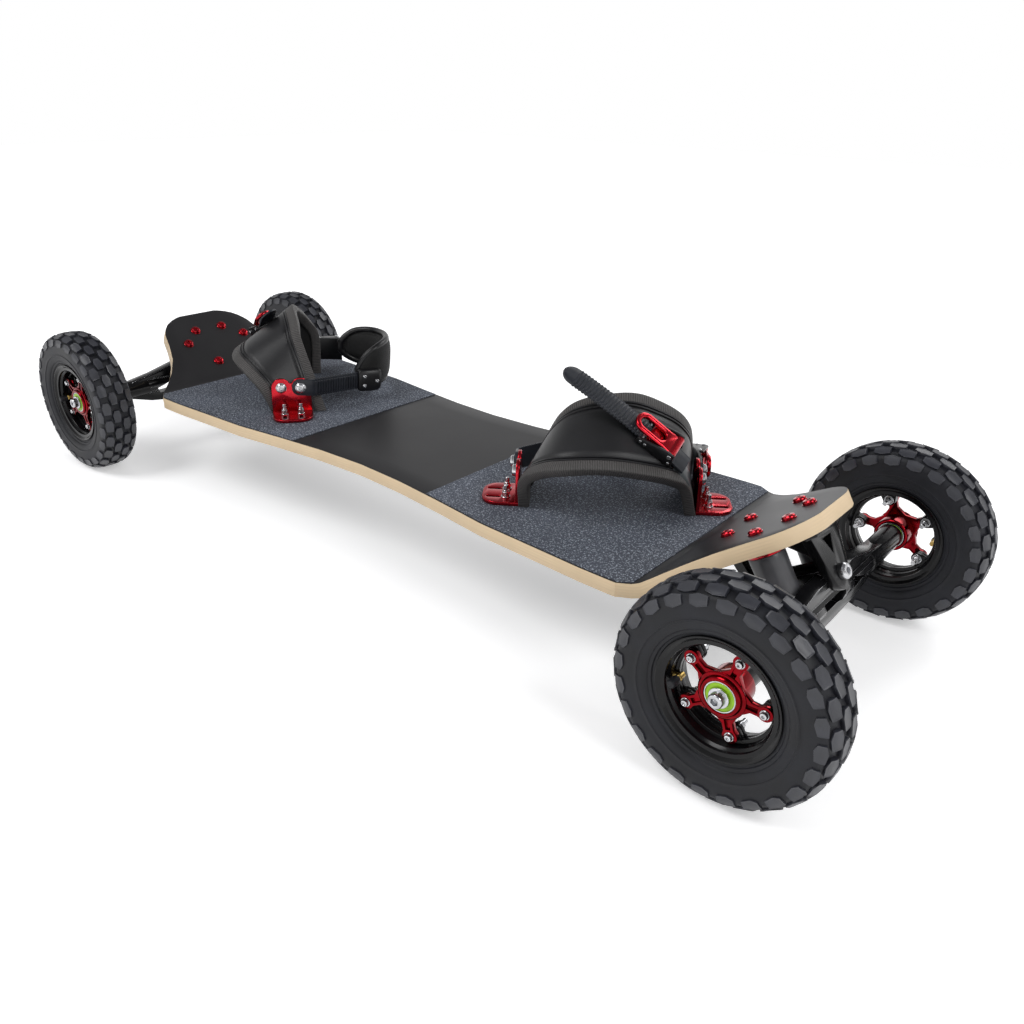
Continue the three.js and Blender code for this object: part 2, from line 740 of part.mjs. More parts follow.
// A strap's side outline along a path of [x, y] points, with ribs between two lengths of it
function strapOutline(path, thickness, ribFrom, ribTo) {
  const curve = new THREE.Path();
  curve.moveTo(...path[0]);
  for (const next of path.slice(1)) curve.lineTo(...next);
  const length = curve.getLength();
  const beside = (along, height) => {
    const share = THREE.MathUtils.clamp(along / length, 0, 1);
    const at = curve.getPointAt(share);
    const way = curve.getTangentAt(share);
    return [at.x - way.y * height, at.y + way.x * height];
  };
  const ribs = [];
  for (let along = ribFrom; along + strapRibPitch <= ribTo; along += strapRibPitch) {
    ribs.push(beside(along, thickness / 2), beside(along + strapRibPitch / 3, thickness / 2 + strapRibDepth));
    ribs.push(beside(along + 2 * strapRibPitch / 3, thickness / 2 + strapRibDepth));
  }
  const corners = [];
  for (let i = 0, along = 0; i < path.length; i++) {
    if (i > 0) along += Math.hypot(path[i][0] - path[i - 1][0], path[i][1] - path[i - 1][1]);
    corners.push(along);
  }
  const plain = corners.filter((along) => along < ribFrom || along > ribTo);
  const before = plain.filter((along) => along < ribFrom).map((along) => beside(along, thickness / 2));
  const after = plain.filter((along) => along > ribTo).map((along) => beside(along, thickness / 2));
  const under = corners.map((along) => beside(along, -thickness / 2)).reverse();
  return [...before, ...ribs, ...after, ...under];
}

// Where the instep ratchet sits on the pad, as shares of the way across and back
const ratchetShares = { at: [0.64, 0.42], from: [0.74, 0.28], to: [0.56, 0.54] };

function ratchetFrame() {
  const up = padNormal(...ratchetShares.at);
  const along = onPad(...ratchetShares.to).sub(onPad(...ratchetShares.from));
  along.addScaledVector(up, -along.dot(up)).normalize();
  const across = new THREE.Vector3().crossVectors(up, along);
  const frame = new THREE.Group();
  frame.position.copy(onPad(...ratchetShares.at));
  frame.quaternion.setFromRotationMatrix(new THREE.Matrix4().makeBasis(along, across, up));
  return frame;
}

// The ratchet's channel: a floor on its seat and two side walls that carry the lever.
// The strap runs along X, its free end at +X. A tongue may lead on to a bolt.
function makeBuckle(tongueTo) {
  const half = buckleLength / 2;
  const floor = seat + buckleFloor;
  const plan = tongueTo > 0 ? [
    [-half, -buckleWidth / 2],
    [half, -buckleWidth / 2],
    ...arc(tongueTo, 0, heelTongueRadius, -Math.PI / 2, Math.PI / 2, 5),
    [half, buckleWidth / 2],
    [-half, buckleWidth / 2],
  ] : [
    [-half, -buckleWidth / 2], [half, -buckleWidth / 2], [half, buckleWidth / 2], [-half, buckleWidth / 2],
  ];
  const base = extruded(plan, buckleFloor).translate([0, 0, seat]);
  const side = [
    [-half, seat],
    [half, seat],
    [half, buckleNoseHeight],
    [leverPivotAt + leverDrumRadius, buckleWallHeight],
    [leverPivotAt - leverDrumRadius / 2, buckleWallHeight],
    [-half, floor + buckleFloor],
  ];
  const walls = sides.map((across) => extruded(side, buckleWall)
    .rotate([90, 0, 0])
    .translate([0, across * (buckleWidth - buckleWall) / 2 + buckleWall / 2, 0]));
  return joined([base, ...walls]);
}

// The ring-shaped lever and its drum, from its hinge axis along Y
function makeLever() {
  const drumHalf = buckleWidth / 2 - buckleWall - seat;
  const drum = turned([
    [0, -drumHalf], [leverDrumRadius, -drumHalf], [leverDrumRadius, drumHalf], [0, drumHalf],
  ], leverFacets);
  const end = leverLength - leverWidth / 2;
  const outline = [
    [0, -drumHalf],
    [leverWidth / 2, -leverWidth / 2],
    ...arc(end, 0, leverWidth / 2, -Math.PI / 2, Math.PI / 2, 6),
    [leverWidth / 2, leverWidth / 2],
    [0, drumHalf],
  ];
  const rim = (leverWidth - leverOpeningWidth) / 2;
  const near = leverLength - rim - leverOpeningLength + leverOpeningWidth / 2;
  const opening = [
    ...arc(end, 0, leverOpeningWidth / 2, Math.PI / 2, -Math.PI / 2, 4),
    ...arc(near, 0, leverOpeningWidth / 2, 1.5 * Math.PI, Math.PI / 2, 4),
  ];
  const ring = extruded(outline, leverThickness, [opening]).translate([0, 0, -leverThickness / 2]);
  return drum.add(ring);
}

// The instep's ladder strap: root on the pad by its toe rim, through the ratchet, to a round free end
function makeInstepLadder(tailLength) {
  const level = seat + buckleFloor + seat + strapThickness / 2;
  const half = buckleLength / 2;
  const tail = half + tailLength;
  const droop = (share) => level - strapTailDrop * (share * tailLength / strapTailLength) ** 2;
  const path = [
    [-strapRootLength, strapRootLevel],
    [-half - overrun, level],
    [half, level],
    [half + tailLength / 3, droop(1 / 3)],
    [half + 2 * tailLength / 3, droop(2 / 3)],
    [tail, droop(1)],
  ];
  const outline = strapOutline(path, strapThickness, strapRootLength + half, strapRootLength + tail);
  const side = extruded(outline, strapWidth).rotate([90, 0, 0]).translate([0, strapWidth / 2, 0]);
  const end = tail - strapWidth / 2;
  const plan = [
    [-strapRootLength - overrun, -strapWidth / 2],
    ...arc(end, 0, strapWidth / 2, -Math.PI / 2, Math.PI / 2, 6),
    [-strapRootLength - overrun, strapWidth / 2],
  ];
  const depth = 4 * (level + strapTailDrop);
  return side.intersect(extruded(plan, depth).translate([0, 0, -depth / 2]));
}

// The heel's ladder strap on the inboard side, from the bracket's bolt to the pad's clamp.
// Across is X with outboard at +X, back from the bolts is Y, and the bolts are at the origin.
const heelStrapAcross = bindingHalfWidth + plateThickness + seat + strapThickness / 2;
const bracketEdge = bracketWidth / 2 - bracketBoltPitch / 2;

// The heel cup from inboard to outboard: across, back, height, thickness and lift as shares of the
// strap's half width, the reach, the cup's height, its thickness and its height again
const heelCupShares = [
  [-0.506, 0.642, 0.54, 0.62, 0.136],
  [-0.506, 0.732, 0.79, 0.92, 0.237],
  [-0.466, 0.85, 0.96, 1, 0.311],
  [-0.304, 0.954, 1, 1, 0.362],
  [-0.081, 0.994, 1, 1, 0.368],
  [0.162, 0.984, 0.98, 1, 0.368],
  [0.374, 0.914, 0.96, 1, 0.355],
  [0.506, 0.792, 0.95, 1, 0.337],
  [0.557, 0.646, 0.89, 0.92, 0.332],
  [0.547, 0.508, 0.68, 0.62, 0.311],
];

// The outboard arm from the cup to the ratchet, how far it reaches past the ratchet's middle,
// how far in the clamp's end stands, how much the clamp widens, and the eight-sided section of each
const heelShares = {
  arm: [[0.5, 0.846], [0.64, 0.8], [0.86, 0.69]],
  reach: 0.7,
  clampAcross: 0.86,
  clampGrowth: 1.7,
  section: [[1, -0.7], [1, 0.7], [0.4, 1], [-0.4, 1], [-1, 0.7], [-1, -0.7], [-0.4, -1], [0.4, -1]],
};

function makeHeelLadder() {
  const path = [
    [-heelStrapAcross, -heelTongueRadius],
    [-heelStrapAcross, bracketEdge + overrun],
    [-heelStrapAcross + heelLadderInset, heelClampAt - seat - strapThickness / 2],
  ];
  const outline = strapOutline(path, strapThickness, heelTongueRadius + bracketEdge, heelClampAt);
  return extruded(outline, heelStrapWidth).translate([0, 0, -heelStrapWidth / 2]);
}

// A band on edge through stations, each across, back, height, thickness and lift
function heelBand(stations) {
  return lofted(stations.map(([x, y, height, thickness, lift], i) => {
    const before = stations[Math.max(0, i - 1)];
    const after = stations[Math.min(stations.length - 1, i + 1)];
    const way = new THREE.Vector2(after[0] - before[0], after[1] - before[1]).normalize();
    return heelShares.section.map(([out, up]) => point(
      x - way.y * out * thickness / 2,
      y + way.x * out * thickness / 2,
      lift + up * height / 2,
    ));
  }));
}

// The heel pad: a clamp for the inboard ladder, the padded cup round the heel, and an outboard arm
// that ends as a strap in the ratchet
function makeHeelPad() {
  const clampAcross = -heelStrapAcross + heelLadderInset;
  const clamp = heelBand([
    [clampAcross, heelClampAt, heelClampWidth, heelClampThickness, 0],
    [
      heelShares.clampAcross * clampAcross,
      heelClampAt + heelClampLength,
      heelClampWidth,
      heelShares.clampGrowth * heelClampThickness,
      0,
    ],
  ]);
  const cup = heelBand(heelCupShares.map(([across, back, height, thickness, lift]) => [
    across * heelStrapAcross,
    back * heelReach,
    height * heelPadHeight,
    thickness * heelPadThickness,
    lift * heelPadHeight,
  ]));
  const ratchetAcross = bindingHalfWidth + plateThickness + 2 * seat + buckleFloor + strapThickness / 2 + seat;
  const straight = [heelShares.reach, -heelShares.reach].map((share) =>
    [ratchetAcross, heelBuckleAt + share * buckleLength, heelStrapWidth, strapThickness, 0]);
  const arm = heelBand([
    ...heelShares.arm.map(([across, back]) =>
      [across * heelStrapAcross, back * heelReach, heelStrapWidth, heelArmThickness, 0]),
    ...straight,
  ]);
  return joined([clamp, cup, arm]);
}

const model = new THREE.Group();
export default model;

function addWheel(name, x, y) {
  const wheel = new THREE.Group();
  wheel.position.set(x, y, axleHeight);
  if (y < 0) wheel.rotation.z = Math.PI;
  wheel.add(mesh(`${name}_tyre`, parts.tyre, tyreRubber));
  wheel.add(mesh(`${name}_rim_outer`, parts.rimOuter, blackMetal));
  wheel.add(mesh(`${name}_rim_inner`, parts.rimInner, blackMetal));
  wheel.add(mesh(`${name}_hub`, parts.hub, redMetal));
  wheel.add(mesh(`${name}_bearings`, parts.bearings, limeShield));
  wheel.add(mesh(`${name}_axle`, parts.axle, steel));
  model.add(wheel);
}

function addTruck(name, sign) {
  const end = new THREE.Group();
  end.rotation.z = sign > 0 ? 0 : Math.PI;
  const tip = new THREE.Group();
  tip.position.set(
    bendAt + truckStart * Math.cos(tipAngle),
    0,
    deckTop + truckStart * Math.sin(tipAngle),
  );
  tip.rotation.y = -tipAngle;
  end.add(tip);
  tip.add(mesh(`${name}_baseplate`, parts.baseplate, blackMetal));
  tip.add(mesh(`${name}_hanger`, parts.hanger, blackMetal));
  tip.add(mesh(`${name}_kingpin`, parts.kingpin, steel));
  for (const side of sides) {
    const which = side * sign > 0 ? 'left' : 'right';
    tip.add(mesh(`${name}_${which}_damper_cap`, makeDamperCap(side), redMetal));
    tip.add(mesh(`${name}_${which}_damper`, makeDamper(side), darkUrethane));
  }
  model.add(end);
}

const parts = {
  tyre: makeTyre(),
  rimOuter: makeRimHalf(1),
  rimInner: makeRimHalf(-1),
  hub: makeHub(),
  bearings: makeBearings(),
  axle: makeAxle(),
  baseplate: makeBaseplate(),
  hanger: makeHanger(),
  kingpin: makeKingpin(),
};

model.add(mesh('deck', makeDeck(), laminate));
for (const [name, sign] of [['front', 1], ['rear', -1]]) {
  addTruck(name, sign);
  addWheel(`${name}_left`, sign * axleAt, halfTrack);
  addWheel(`${name}_right`, sign * axleAt, -halfTrack);
}

function addBinding(name, sign, tailLength, heelRise) {
  const mirrored = new THREE.Group();
  mirrored.scale.x = sign;
  const binding = new THREE.Group();
  binding.position.set(bindingAt, bindingOffset, bindingFloor);
  binding.rotation.z = stanceAngle;
  mirrored.add(binding);

  const outboard = mesh(`${name}_bracket_outboard`, makeBracket(), redMetal);
  outboard.position.x = bindingHalfWidth;
  const inboard = mesh(`${name}_bracket_inboard`, makeBracket(), redMetal);
  inboard.position.x = -bindingHalfWidth;
  inboard.rotation.z = Math.PI;
  binding.add(outboard, inboard);
  binding.add(mesh(`${name}_instep_pad`, makePadShell(), moulded));

  const ratchet = ratchetFrame();
  ratchet.add(mesh(`${name}_instep_buckle`, makeBuckle(0), moulded));
  ratchet.add(mesh(`${name}_instep_ladder`, makeInstepLadder(tailLength), strapPlastic));
  const lever = mesh(`${name}_instep_lever`, makeLever(), redMetal);
  lever.position.set(leverPivotAt, 0, leverPivotHeight);
  ratchet.add(lever);
  binding.add(ratchet);

  const heel = new THREE.Group();
  heel.position.set(0, bracketBoltPitch / 2, bracketBoltHeight);
  heel.rotation.x = heelRise;
  heel.add(mesh(`${name}_heel_ladder`, makeHeelLadder(), strapPlastic));
  heel.add(mesh(`${name}_heel_pad`, makeHeelPad(), softPad));
  const heelRatchet = new THREE.Group();
  heelRatchet.position.set(bindingHalfWidth + plateThickness, heelBuckleAt, 0);
  const outwards = new THREE.Matrix4().makeBasis(point(0, -1, 0), point(0, 0, -1), point(1, 0, 0));
  heelRatchet.quaternion.setFromRotationMatrix(outwards);
  heelRatchet.add(mesh(`${name}_heel_buckle`, makeBuckle(heelBuckleAt), moulded));
  const heelLever = mesh(`${name}_heel_lever`, makeLever(), redMetal);
  heelLever.position.set(leverPivotAt, 0, leverPivotHeight);
  heelRatchet.add(heelLever);
  heel.add(heelRatchet);
  binding.add(heel);
  model.add(mirrored);
}

addBinding('front', 1, strapTailLength, frontHeelRise);
addBinding('rear', -1, shortTailShare * strapTailLength, rearHeelRise);
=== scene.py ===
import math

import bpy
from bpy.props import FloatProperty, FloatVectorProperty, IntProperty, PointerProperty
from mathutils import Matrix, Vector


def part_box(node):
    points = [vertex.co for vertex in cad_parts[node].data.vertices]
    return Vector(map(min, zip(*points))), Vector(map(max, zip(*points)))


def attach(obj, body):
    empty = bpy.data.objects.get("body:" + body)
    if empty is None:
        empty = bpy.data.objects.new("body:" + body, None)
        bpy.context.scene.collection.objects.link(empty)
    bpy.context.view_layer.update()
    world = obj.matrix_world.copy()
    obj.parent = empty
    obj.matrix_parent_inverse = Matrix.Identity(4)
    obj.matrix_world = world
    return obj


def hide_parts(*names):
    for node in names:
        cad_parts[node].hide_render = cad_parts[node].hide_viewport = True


bl_info = {
    "name": "Mountainboard",
    "version": (1, 0, 0),
    "blender": (4, 5, 0),
    "location": "View3D > Sidebar > Mountainboard",
    "description": "Dresses the mountainboard's frame: deck, trucks, wheels and foot bindings",
    "category": "Add Mesh",
}

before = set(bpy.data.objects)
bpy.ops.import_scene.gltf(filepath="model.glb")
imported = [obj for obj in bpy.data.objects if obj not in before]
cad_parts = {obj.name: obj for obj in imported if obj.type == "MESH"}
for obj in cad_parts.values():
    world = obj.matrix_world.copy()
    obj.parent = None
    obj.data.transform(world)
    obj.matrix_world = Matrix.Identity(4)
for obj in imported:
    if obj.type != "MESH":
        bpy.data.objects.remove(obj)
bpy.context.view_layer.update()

MM = 0.001
ENDS = {"front": 1, "rear": -1}
SIDES = {"left": 1, "right": -1}
WELD = 0.01 * MM


# Modelling helpers

def use(*pieces):
    """Selects these pieces and nothing else."""
    bpy.ops.object.select_all(action="DESELECT")
    for piece in pieces:
        piece.select_set(True)
    bpy.context.view_layer.objects.active = pieces[0]


def edit(piece, *steps):
    """Runs edit-mode steps on the whole of one piece."""
    use(piece)
    bpy.ops.object.mode_set(mode="EDIT")
    bpy.ops.mesh.select_all(action="SELECT")
    for step in steps:
        step()
    bpy.ops.object.mode_set(mode="OBJECT")
    return piece


def chain(name, points):
    """Edges through the points in millimetres: one vertex, extruded from place to place."""
    places = [Vector(point) * MM for point in points]
    bpy.ops.object.select_all(action="DESELECT")
    bpy.ops.mesh.primitive_plane_add(size=MM, location=places[0])
    piece = bpy.context.object
    piece.name = name
    bpy.ops.object.transform_apply()

    def draw():
        bpy.ops.mesh.merge(type="CENTER")
        for before, after in zip(places, places[1:]):
            bpy.ops.mesh.extrude_region_move(TRANSFORM_OT_translate={"value": after - before})

    return edit(piece, draw)


def spun(name, profile, steps, close=True):
    """A profile of (radius, along) in millimetres, spun about the Y axis."""
    points = [(radius, along, 0) for radius, along in profile]
    if close:
        points.append(points[0])
    piece = chain(name, points)
    return edit(
        piece,
        lambda: bpy.ops.mesh.spin(steps=steps, angle=math.tau, center=(0, 0, 0), axis=(0, 1, 0)),
        lambda: bpy.ops.mesh.select_all(action="SELECT"),
        lambda: bpy.ops.mesh.remove_doubles(threshold=WELD),
        lambda: bpy.ops.mesh.normals_make_consistent(inside=False),
    )


def plate(name, outline, thickness):
    """A flat outline of (x, y) in millimetres, extruded up along Z."""
    points = [(x, y, 0) for x, y in outline]
    piece = chain(name, points + [points[0]])
    return edit(
        piece,
        lambda: bpy.ops.mesh.remove_doubles(threshold=WELD),
        lambda: bpy.ops.mesh.edge_face_add(),
        lambda: bpy.ops.mesh.extrude_region_move(
            TRANSFORM_OT_translate={"value": (0, 0, thickness * MM)}),
        lambda: bpy.ops.mesh.select_all(action="SELECT"),
        lambda: bpy.ops.mesh.normals_make_consistent(inside=False),
    )


def shell(name, columns, rows, top, under):
    """A grid whose points follow top(u, v), extruded to under(u, v), all in millimetres."""
    bpy.ops.object.select_all(action="DESELECT")
    bpy.ops.mesh.primitive_grid_add(x_subdivisions=columns, y_subdivisions=rows, size=1)
    piece = bpy.context.object
    piece.name = name
    edit(piece, lambda: bpy.ops.mesh.extrude_region_move(
        TRANSFORM_OT_translate={"value": (0, 0, -1)}))
    for vertex in piece.data.vertices:
        u, v = vertex.co.x + 0.5, vertex.co.y + 0.5
        vertex.co = Vector(under(u, v) if vertex.co.z < -0.5 else top(u, v)) * MM
    return edit(piece, lambda: bpy.ops.mesh.normals_make_consistent(inside=False))


def arc(x, y, radius, start, end, steps):
    """Points of an arc, with its angles in degrees."""
    angles = [math.radians(start + (end - start) * i / steps) for i in range(steps + 1)]
    return [(x + radius * math.cos(a), y + radius * math.sin(a)) for a in angles]


def smooth_line(points, steps):
    """A soft curve through the points."""
    padded = [points[0], *points, points[-1]]
    found = []
    for p0, p1, p2, p3 in zip(padded, padded[1:], padded[2:], padded[3:]):
        for step in range(steps):
            t = step / steps
            found.append(tuple(
                0.5 * (2 * b + (c - a) * t + (2 * a - 5 * b + 4 * c - d) * t * t
                       + (3 * b - a - 3 * c + d) * t ** 3)
                for a, b, c, d in zip(p0, p1, p2, p3)))
    return found + [points[-1]]


def bar(sides, radius, length, centre, axis="Z"):
    """A bar with this many sides along Z or Y, round its centre, all in millimetres."""
    bpy.ops.object.select_all(action="DESELECT")
    bpy.ops.mesh.primitive_cylinder_add(
        vertices=sides, radius=radius * MM, depth=length * MM,
        location=[value * MM for value in centre],
        rotation=(math.radians(90) if axis == "Y" else 0, 0, 0))
    bpy.ops.object.transform_apply()
    return bpy.context.object


def section(inner, outer, start, end):
    """The rectangular profile of a ring, or of a disc where the inner radius is 0."""
    return [(inner, start), (outer, start), (outer, end), (inner, end)]


def modified(piece, kind, **values):
    """Adds a modifier with these values and applies it."""
    use(piece)
    modifier = piece.modifiers.new(kind.title(), kind)
    for key, value in values.items():
        setattr(modifier, key, value)
    bpy.ops.object.modifier_apply(modifier=modifier.name)
    return piece


def bevelled(piece, width, segments, angle, slot_index=-1):
    """Rounds the piece's edges, and can give the new faces a material slot of their own."""
    return modified(
        piece, "BEVEL", width=width * MM, segments=segments, limit_method="ANGLE",
        angle_limit=math.radians(angle), material=slot_index, harden_normals=False)


def softened(piece, angle=35):
    """Shades the piece smooth, except over edges sharper than the angle in degrees."""
    use(piece)
    bpy.ops.object.shade_smooth_by_angle(angle=math.radians(angle))
    return piece


def subdivided(piece):
    """Rounds the piece with one level of subdivision."""
    return modified(piece, "SUBSURF", levels=1, render_levels=1)


def removed(*pieces):
    for piece in pieces:
        use(piece)
        bpy.ops.object.delete()


def without(piece, tool):
    """Cuts the tool out of the piece and deletes the tool."""
    modified(piece, "BOOLEAN", operation="DIFFERENCE", solver="EXACT", object=tool)
    removed(tool)
    return piece


def together(name, pieces):
    """Joins the pieces into one."""
    use(*pieces)
    if len(pieces) > 1:
        bpy.ops.object.join()
    pieces[0].name = name
    return pieces[0]


def copied(piece, name):
    """A copy of the piece, with its own mesh."""
    use(piece)
    bpy.ops.object.duplicate()
    twin = bpy.context.object
    twin.name = name
    return twin


def put(piece, place):
    """Moves a piece by a matrix and keeps its object at the origin."""
    piece.matrix_world = place @ piece.matrix_world
    use(piece)
    bpy.ops.object.transform_apply()
    if place.determinant() < 0:
        edit(piece, lambda: bpy.ops.mesh.flip_normals())
    return piece


def from_node(name, node):
    """A merged copy of a CAD node's mesh, to be worked on as a new piece."""
    piece = copied(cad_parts[node], name)
    piece.parent = None
    piece.hide_render = False
    for key in list(piece.keys()):
        del piece[key]
    piece.data.materials.clear()
    return edit(
        piece,
        lambda: bpy.ops.mesh.remove_doubles(threshold=0.02 * MM),
        lambda: bpy.ops.mesh.dissolve_limited(angle_limit=math.radians(1)),
    )


def dressed(piece, *materials):
    """Gives the piece its materials, keeping the slot numbers that its faces have."""
    piece.data.materials.clear()
    for material in materials:
        piece.data.materials.append(material)
    return piece


def fitted(piece, body, slot, nodes=()):
    """Sets a finished piece on its CAD body, in place of the CAD nodes that it replaces."""
    piece.name = piece.name.replace(" ", "_")
    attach(piece, body)
    if nodes:
        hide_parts(*nodes)
    return piece


def turn(degrees, axis):
    return Matrix.Rotation(math.radians(degrees), 4, axis)


def facing(sign):
    """No turn for a positive sign, and half a turn about Z for a negative one."""
    return turn(0 if sign > 0 else 180, "Z")


def move(x, y, z):
    """A shift in millimetres."""
    return Matrix.Translation(Vector((x, y, z)) * MM)


# Node groups that several finishes share

def group(name, inputs, outputs):
    """A new node group, with the sockets that it is given and the sockets that it has to fill."""
    tree = bpy.data.node_groups.new(name, "ShaderNodeTree")
    for label, kind, default in inputs:
        socket = tree.interface.new_socket(name=label, in_out="INPUT", socket_type=kind)
        if default is not None:
            socket.default_value = default
    for label, kind in outputs:
        tree.interface.new_socket(name=label, in_out="OUTPUT", socket_type=kind)
    entry = tree.nodes.new("NodeGroupInput")
    leave = tree.nodes.new("NodeGroupOutput")
    return tree, entry.outputs, leave.inputs


def node(tree, kind, **values):
    """Adds a node. A value that is a socket is linked, and any other is set."""
    made = tree.nodes.new(kind)
    for key, value in values.items():
        if hasattr(made, key) and not key.startswith("in_"):
            setattr(made, key, value)
            continue
        socket = made.inputs[int(key[3:])]
        if isinstance(value, bpy.types.NodeSocket):
            tree.links.new(value, socket)
        else:
            socket.default_value = value
    return made


def blend_colours(tree, share, first, second):
    """The first colour where the share is 0 and the second where it is 1."""
    mix = node(tree, "ShaderNodeMix", data_type="RGBA", in_0=share, in_6=first, in_7=second)
    return mix.outputs[2]


def ranged(tree, value, low, high, to_low=0.0, to_high=1.0):
    """Maps the range from low to high onto another one, held at its ends."""
    return node(tree, "ShaderNodeMapRange", in_0=value, in_1=low, in_2=high, in_3=to_low,
                in_4=to_high).outputs[0]


def highest(tree, first, second):
    """The larger of two values."""
    return node(tree, "ShaderNodeMath", operation="MAXIMUM", in_0=first, in_1=second).outputs[0]


COLOUR = "NodeSocketColor"
VALUE = "NodeSocketFloat"
VECTOR = "NodeSocketVector"
GREY = (0.5, 0.5, 0.5, 1)
WHITE = (1, 1, 1, 1)


def grain_group():
    """Uneven colour and roughness with a fine bump, for mouldings, rubber and metal."""
    found = bpy.data.node_groups.get("Surface grain")
    if found:
        return found
    tree, given, wanted = group(
        "Surface grain",
        [("Vector", VECTOR, None), ("Colour", COLOUR, GREY), ("Tint", COLOUR, GREY),
         ("Patch size", VALUE, 40.0), ("Grain size", VALUE, 1500.0),
         ("Roughness", VALUE, 0.5), ("Spread", VALUE, 0.1)],
        [("Colour", COLOUR), ("Roughness", VALUE), ("Height", VALUE)],
    )
    patches = node(tree, "ShaderNodeTexNoise", in_0=given["Vector"], in_2=given["Patch size"])
    patches.inputs["Detail"].default_value = 5
    grain = node(tree, "ShaderNodeTexNoise", in_0=given["Vector"], in_2=given["Grain size"])
    grain.inputs["Detail"].default_value = 3
    share = ranged(tree, patches.outputs[0], 0.35, 0.68)
    tree.links.new(blend_colours(tree, share, given["Colour"], given["Tint"]), wanted["Colour"])
    spread = node(tree, "ShaderNodeMath", operation="MULTIPLY_ADD",
                  in_0=patches.outputs[0], in_1=given["Spread"], in_2=given["Roughness"])
    tree.links.new(spread.outputs[0], wanted["Roughness"])
    tree.links.new(grain.outputs[0], wanted["Height"])
    return tree


def ribs_group():
    """Even ridges across one direction, with a darker colour between them."""
    found = bpy.data.node_groups.get("Ribs")
    if found:
        return found
    tree, given, wanted = group(
        "Ribs",
        [("Along", VALUE, 0.0), ("Pitch", VALUE, 0.002), ("Colour", COLOUR, GREY),
         ("Shade", COLOUR, (0.1, 0.1, 0.1, 1))],
        [("Colour", COLOUR), ("Height", VALUE)],
    )
    turns = node(tree, "ShaderNodeMath", operation="DIVIDE",
                 in_0=given["Along"], in_1=given["Pitch"])
    angle = node(tree, "ShaderNodeMath", operation="MULTIPLY", in_0=turns.outputs[0], in_1=math.tau)
    wave = node(tree, "ShaderNodeMath", operation="SINE", in_0=angle.outputs[0])
    share = ranged(tree, wave.outputs[0], -0.9, 0.5)
    tree.links.new(blend_colours(tree, share, given["Shade"], given["Colour"]), wanted["Colour"])
    tree.links.new(share, wanted["Height"])
    return tree


def finish(name, colour, tint, patch, grain, roughness, spread, bump, depth=0.0002, **sockets):
    """A finish made of the grain group and the shader's own plain sockets. Patch and grain are
    counts over a metre, and depth is in metres."""
    found = bpy.data.materials.get(name)
    if found:
        return found
    material = bpy.data.materials.new(name)
    material.use_nodes = True
    tree = material.node_tree
    shader = tree.nodes["Principled BSDF"]
    for key, value in sockets.items():
        shader.inputs[key.replace("_", " ")].default_value = value
    coords = tree.nodes.new("ShaderNodeTexCoord")
    texture = tree.nodes.new("ShaderNodeGroup")
    texture.name = "Grain"
    texture.node_tree = grain_group()
    tree.links.new(coords.outputs["Object"], texture.inputs["Vector"])
    texture.inputs["Colour"].default_value = (*colour, 1)
    texture.inputs["Tint"].default_value = (*tint, 1)
    for label, value in {"Patch size": patch, "Grain size": grain, "Roughness": roughness,
                         "Spread": spread}.items():
        texture.inputs[label].default_value = value
    tree.links.new(texture.outputs["Colour"], shader.inputs["Base Color"])
    tree.links.new(texture.outputs["Roughness"], shader.inputs["Roughness"])
    relief = tree.nodes.new("ShaderNodeBump")
    relief.name = "Relief"
    relief.inputs["Strength"].default_value = bump
    relief.inputs["Distance"].default_value = depth
    tree.links.new(texture.outputs["Height"], relief.inputs["Height"])
    tree.links.new(relief.outputs["Normal"], shader.inputs["Normal"])
    return material


def lighter(colour, share):
    """The colour times a share, which darkens it where it is under 1."""
    return tuple(min(1, channel * share) for channel in colour)


# Finishes

def tyre_rubber(settings):
    colour = tuple(settings.rubber)
    return finish("tyre rubber", colour, lighter(colour, 2.2), patch=26, grain=900,
                  roughness=0.4, spread=0.24, bump=0.3, depth=0.0003, Specular_IOR_Level=0.3)


def painted_sheen_tread_rubber(settings):
    """The blocks: the same rubber as the grooves, shinier, and paler as painted sheen on their
    tops.
    """
    # painted sheen: the rubber's own colour made lighter, standing for light on the block tops
    colour = lighter(tuple(settings.rubber), 2.8)
    return finish("tread rubber", colour, lighter(colour, 1.6), patch=60, grain=1300,
                  roughness=0.28, spread=0.24, bump=0.2, depth=0.0003, Specular_IOR_Level=0.6)


def rim_black(settings):
    colour = tuple(settings.rim_colour)
    return finish("rim black anodised", colour, lighter(colour, 1.6), patch=60, grain=2600,
                  roughness=0.16, spread=0.1, bump=0.04, Specular_IOR_Level=0.22, Coat_Weight=0.08,
                  Coat_Roughness=0.08)


def red_anodised():
    colour = tuple(bpy.context.scene.board_metals.red)
    return finish("red anodised", colour, lighter(colour, 0.55), patch=45, grain=3200,
                  roughness=0.14, spread=0.16, bump=0.05, Metallic=0.95, Coat_Weight=0.3,
                  Coat_Roughness=0.1)


def deep_red_anodised():
    """The darker red of the hubs."""
    colour = tuple(bpy.context.scene.board_metals.deep_red)
    return finish("deep red anodised", colour, lighter(colour, 0.5), patch=45, grain=3200,
                  roughness=0.1, spread=0.14, bump=0.05, Metallic=1.0, Coat_Weight=0.1,
                  Coat_Roughness=0.06)


def bright_steel():
    return finish("bright steel", (0.62, 0.63, 0.65), (0.42, 0.42, 0.43), patch=120, grain=4000,
                  roughness=0.14, spread=0.2, bump=0.06, Metallic=1.0)


def bare_aluminium():
    return finish("machined aluminium", (0.74, 0.75, 0.77), (0.55, 0.56, 0.58), patch=80,
                  grain=5000, roughness=0.22, spread=0.15, bump=0.08, Metallic=1.0)


def truck_black(settings):
    colour = tuple(settings.metal)
    return finish("truck black anodised", colour, lighter(colour, 1.8), patch=50, grain=2200,
                  roughness=0.14, spread=0.14, bump=0.06, Specular_IOR_Level=0.25, Coat_Weight=0.1,
                  Coat_Roughness=0.08)


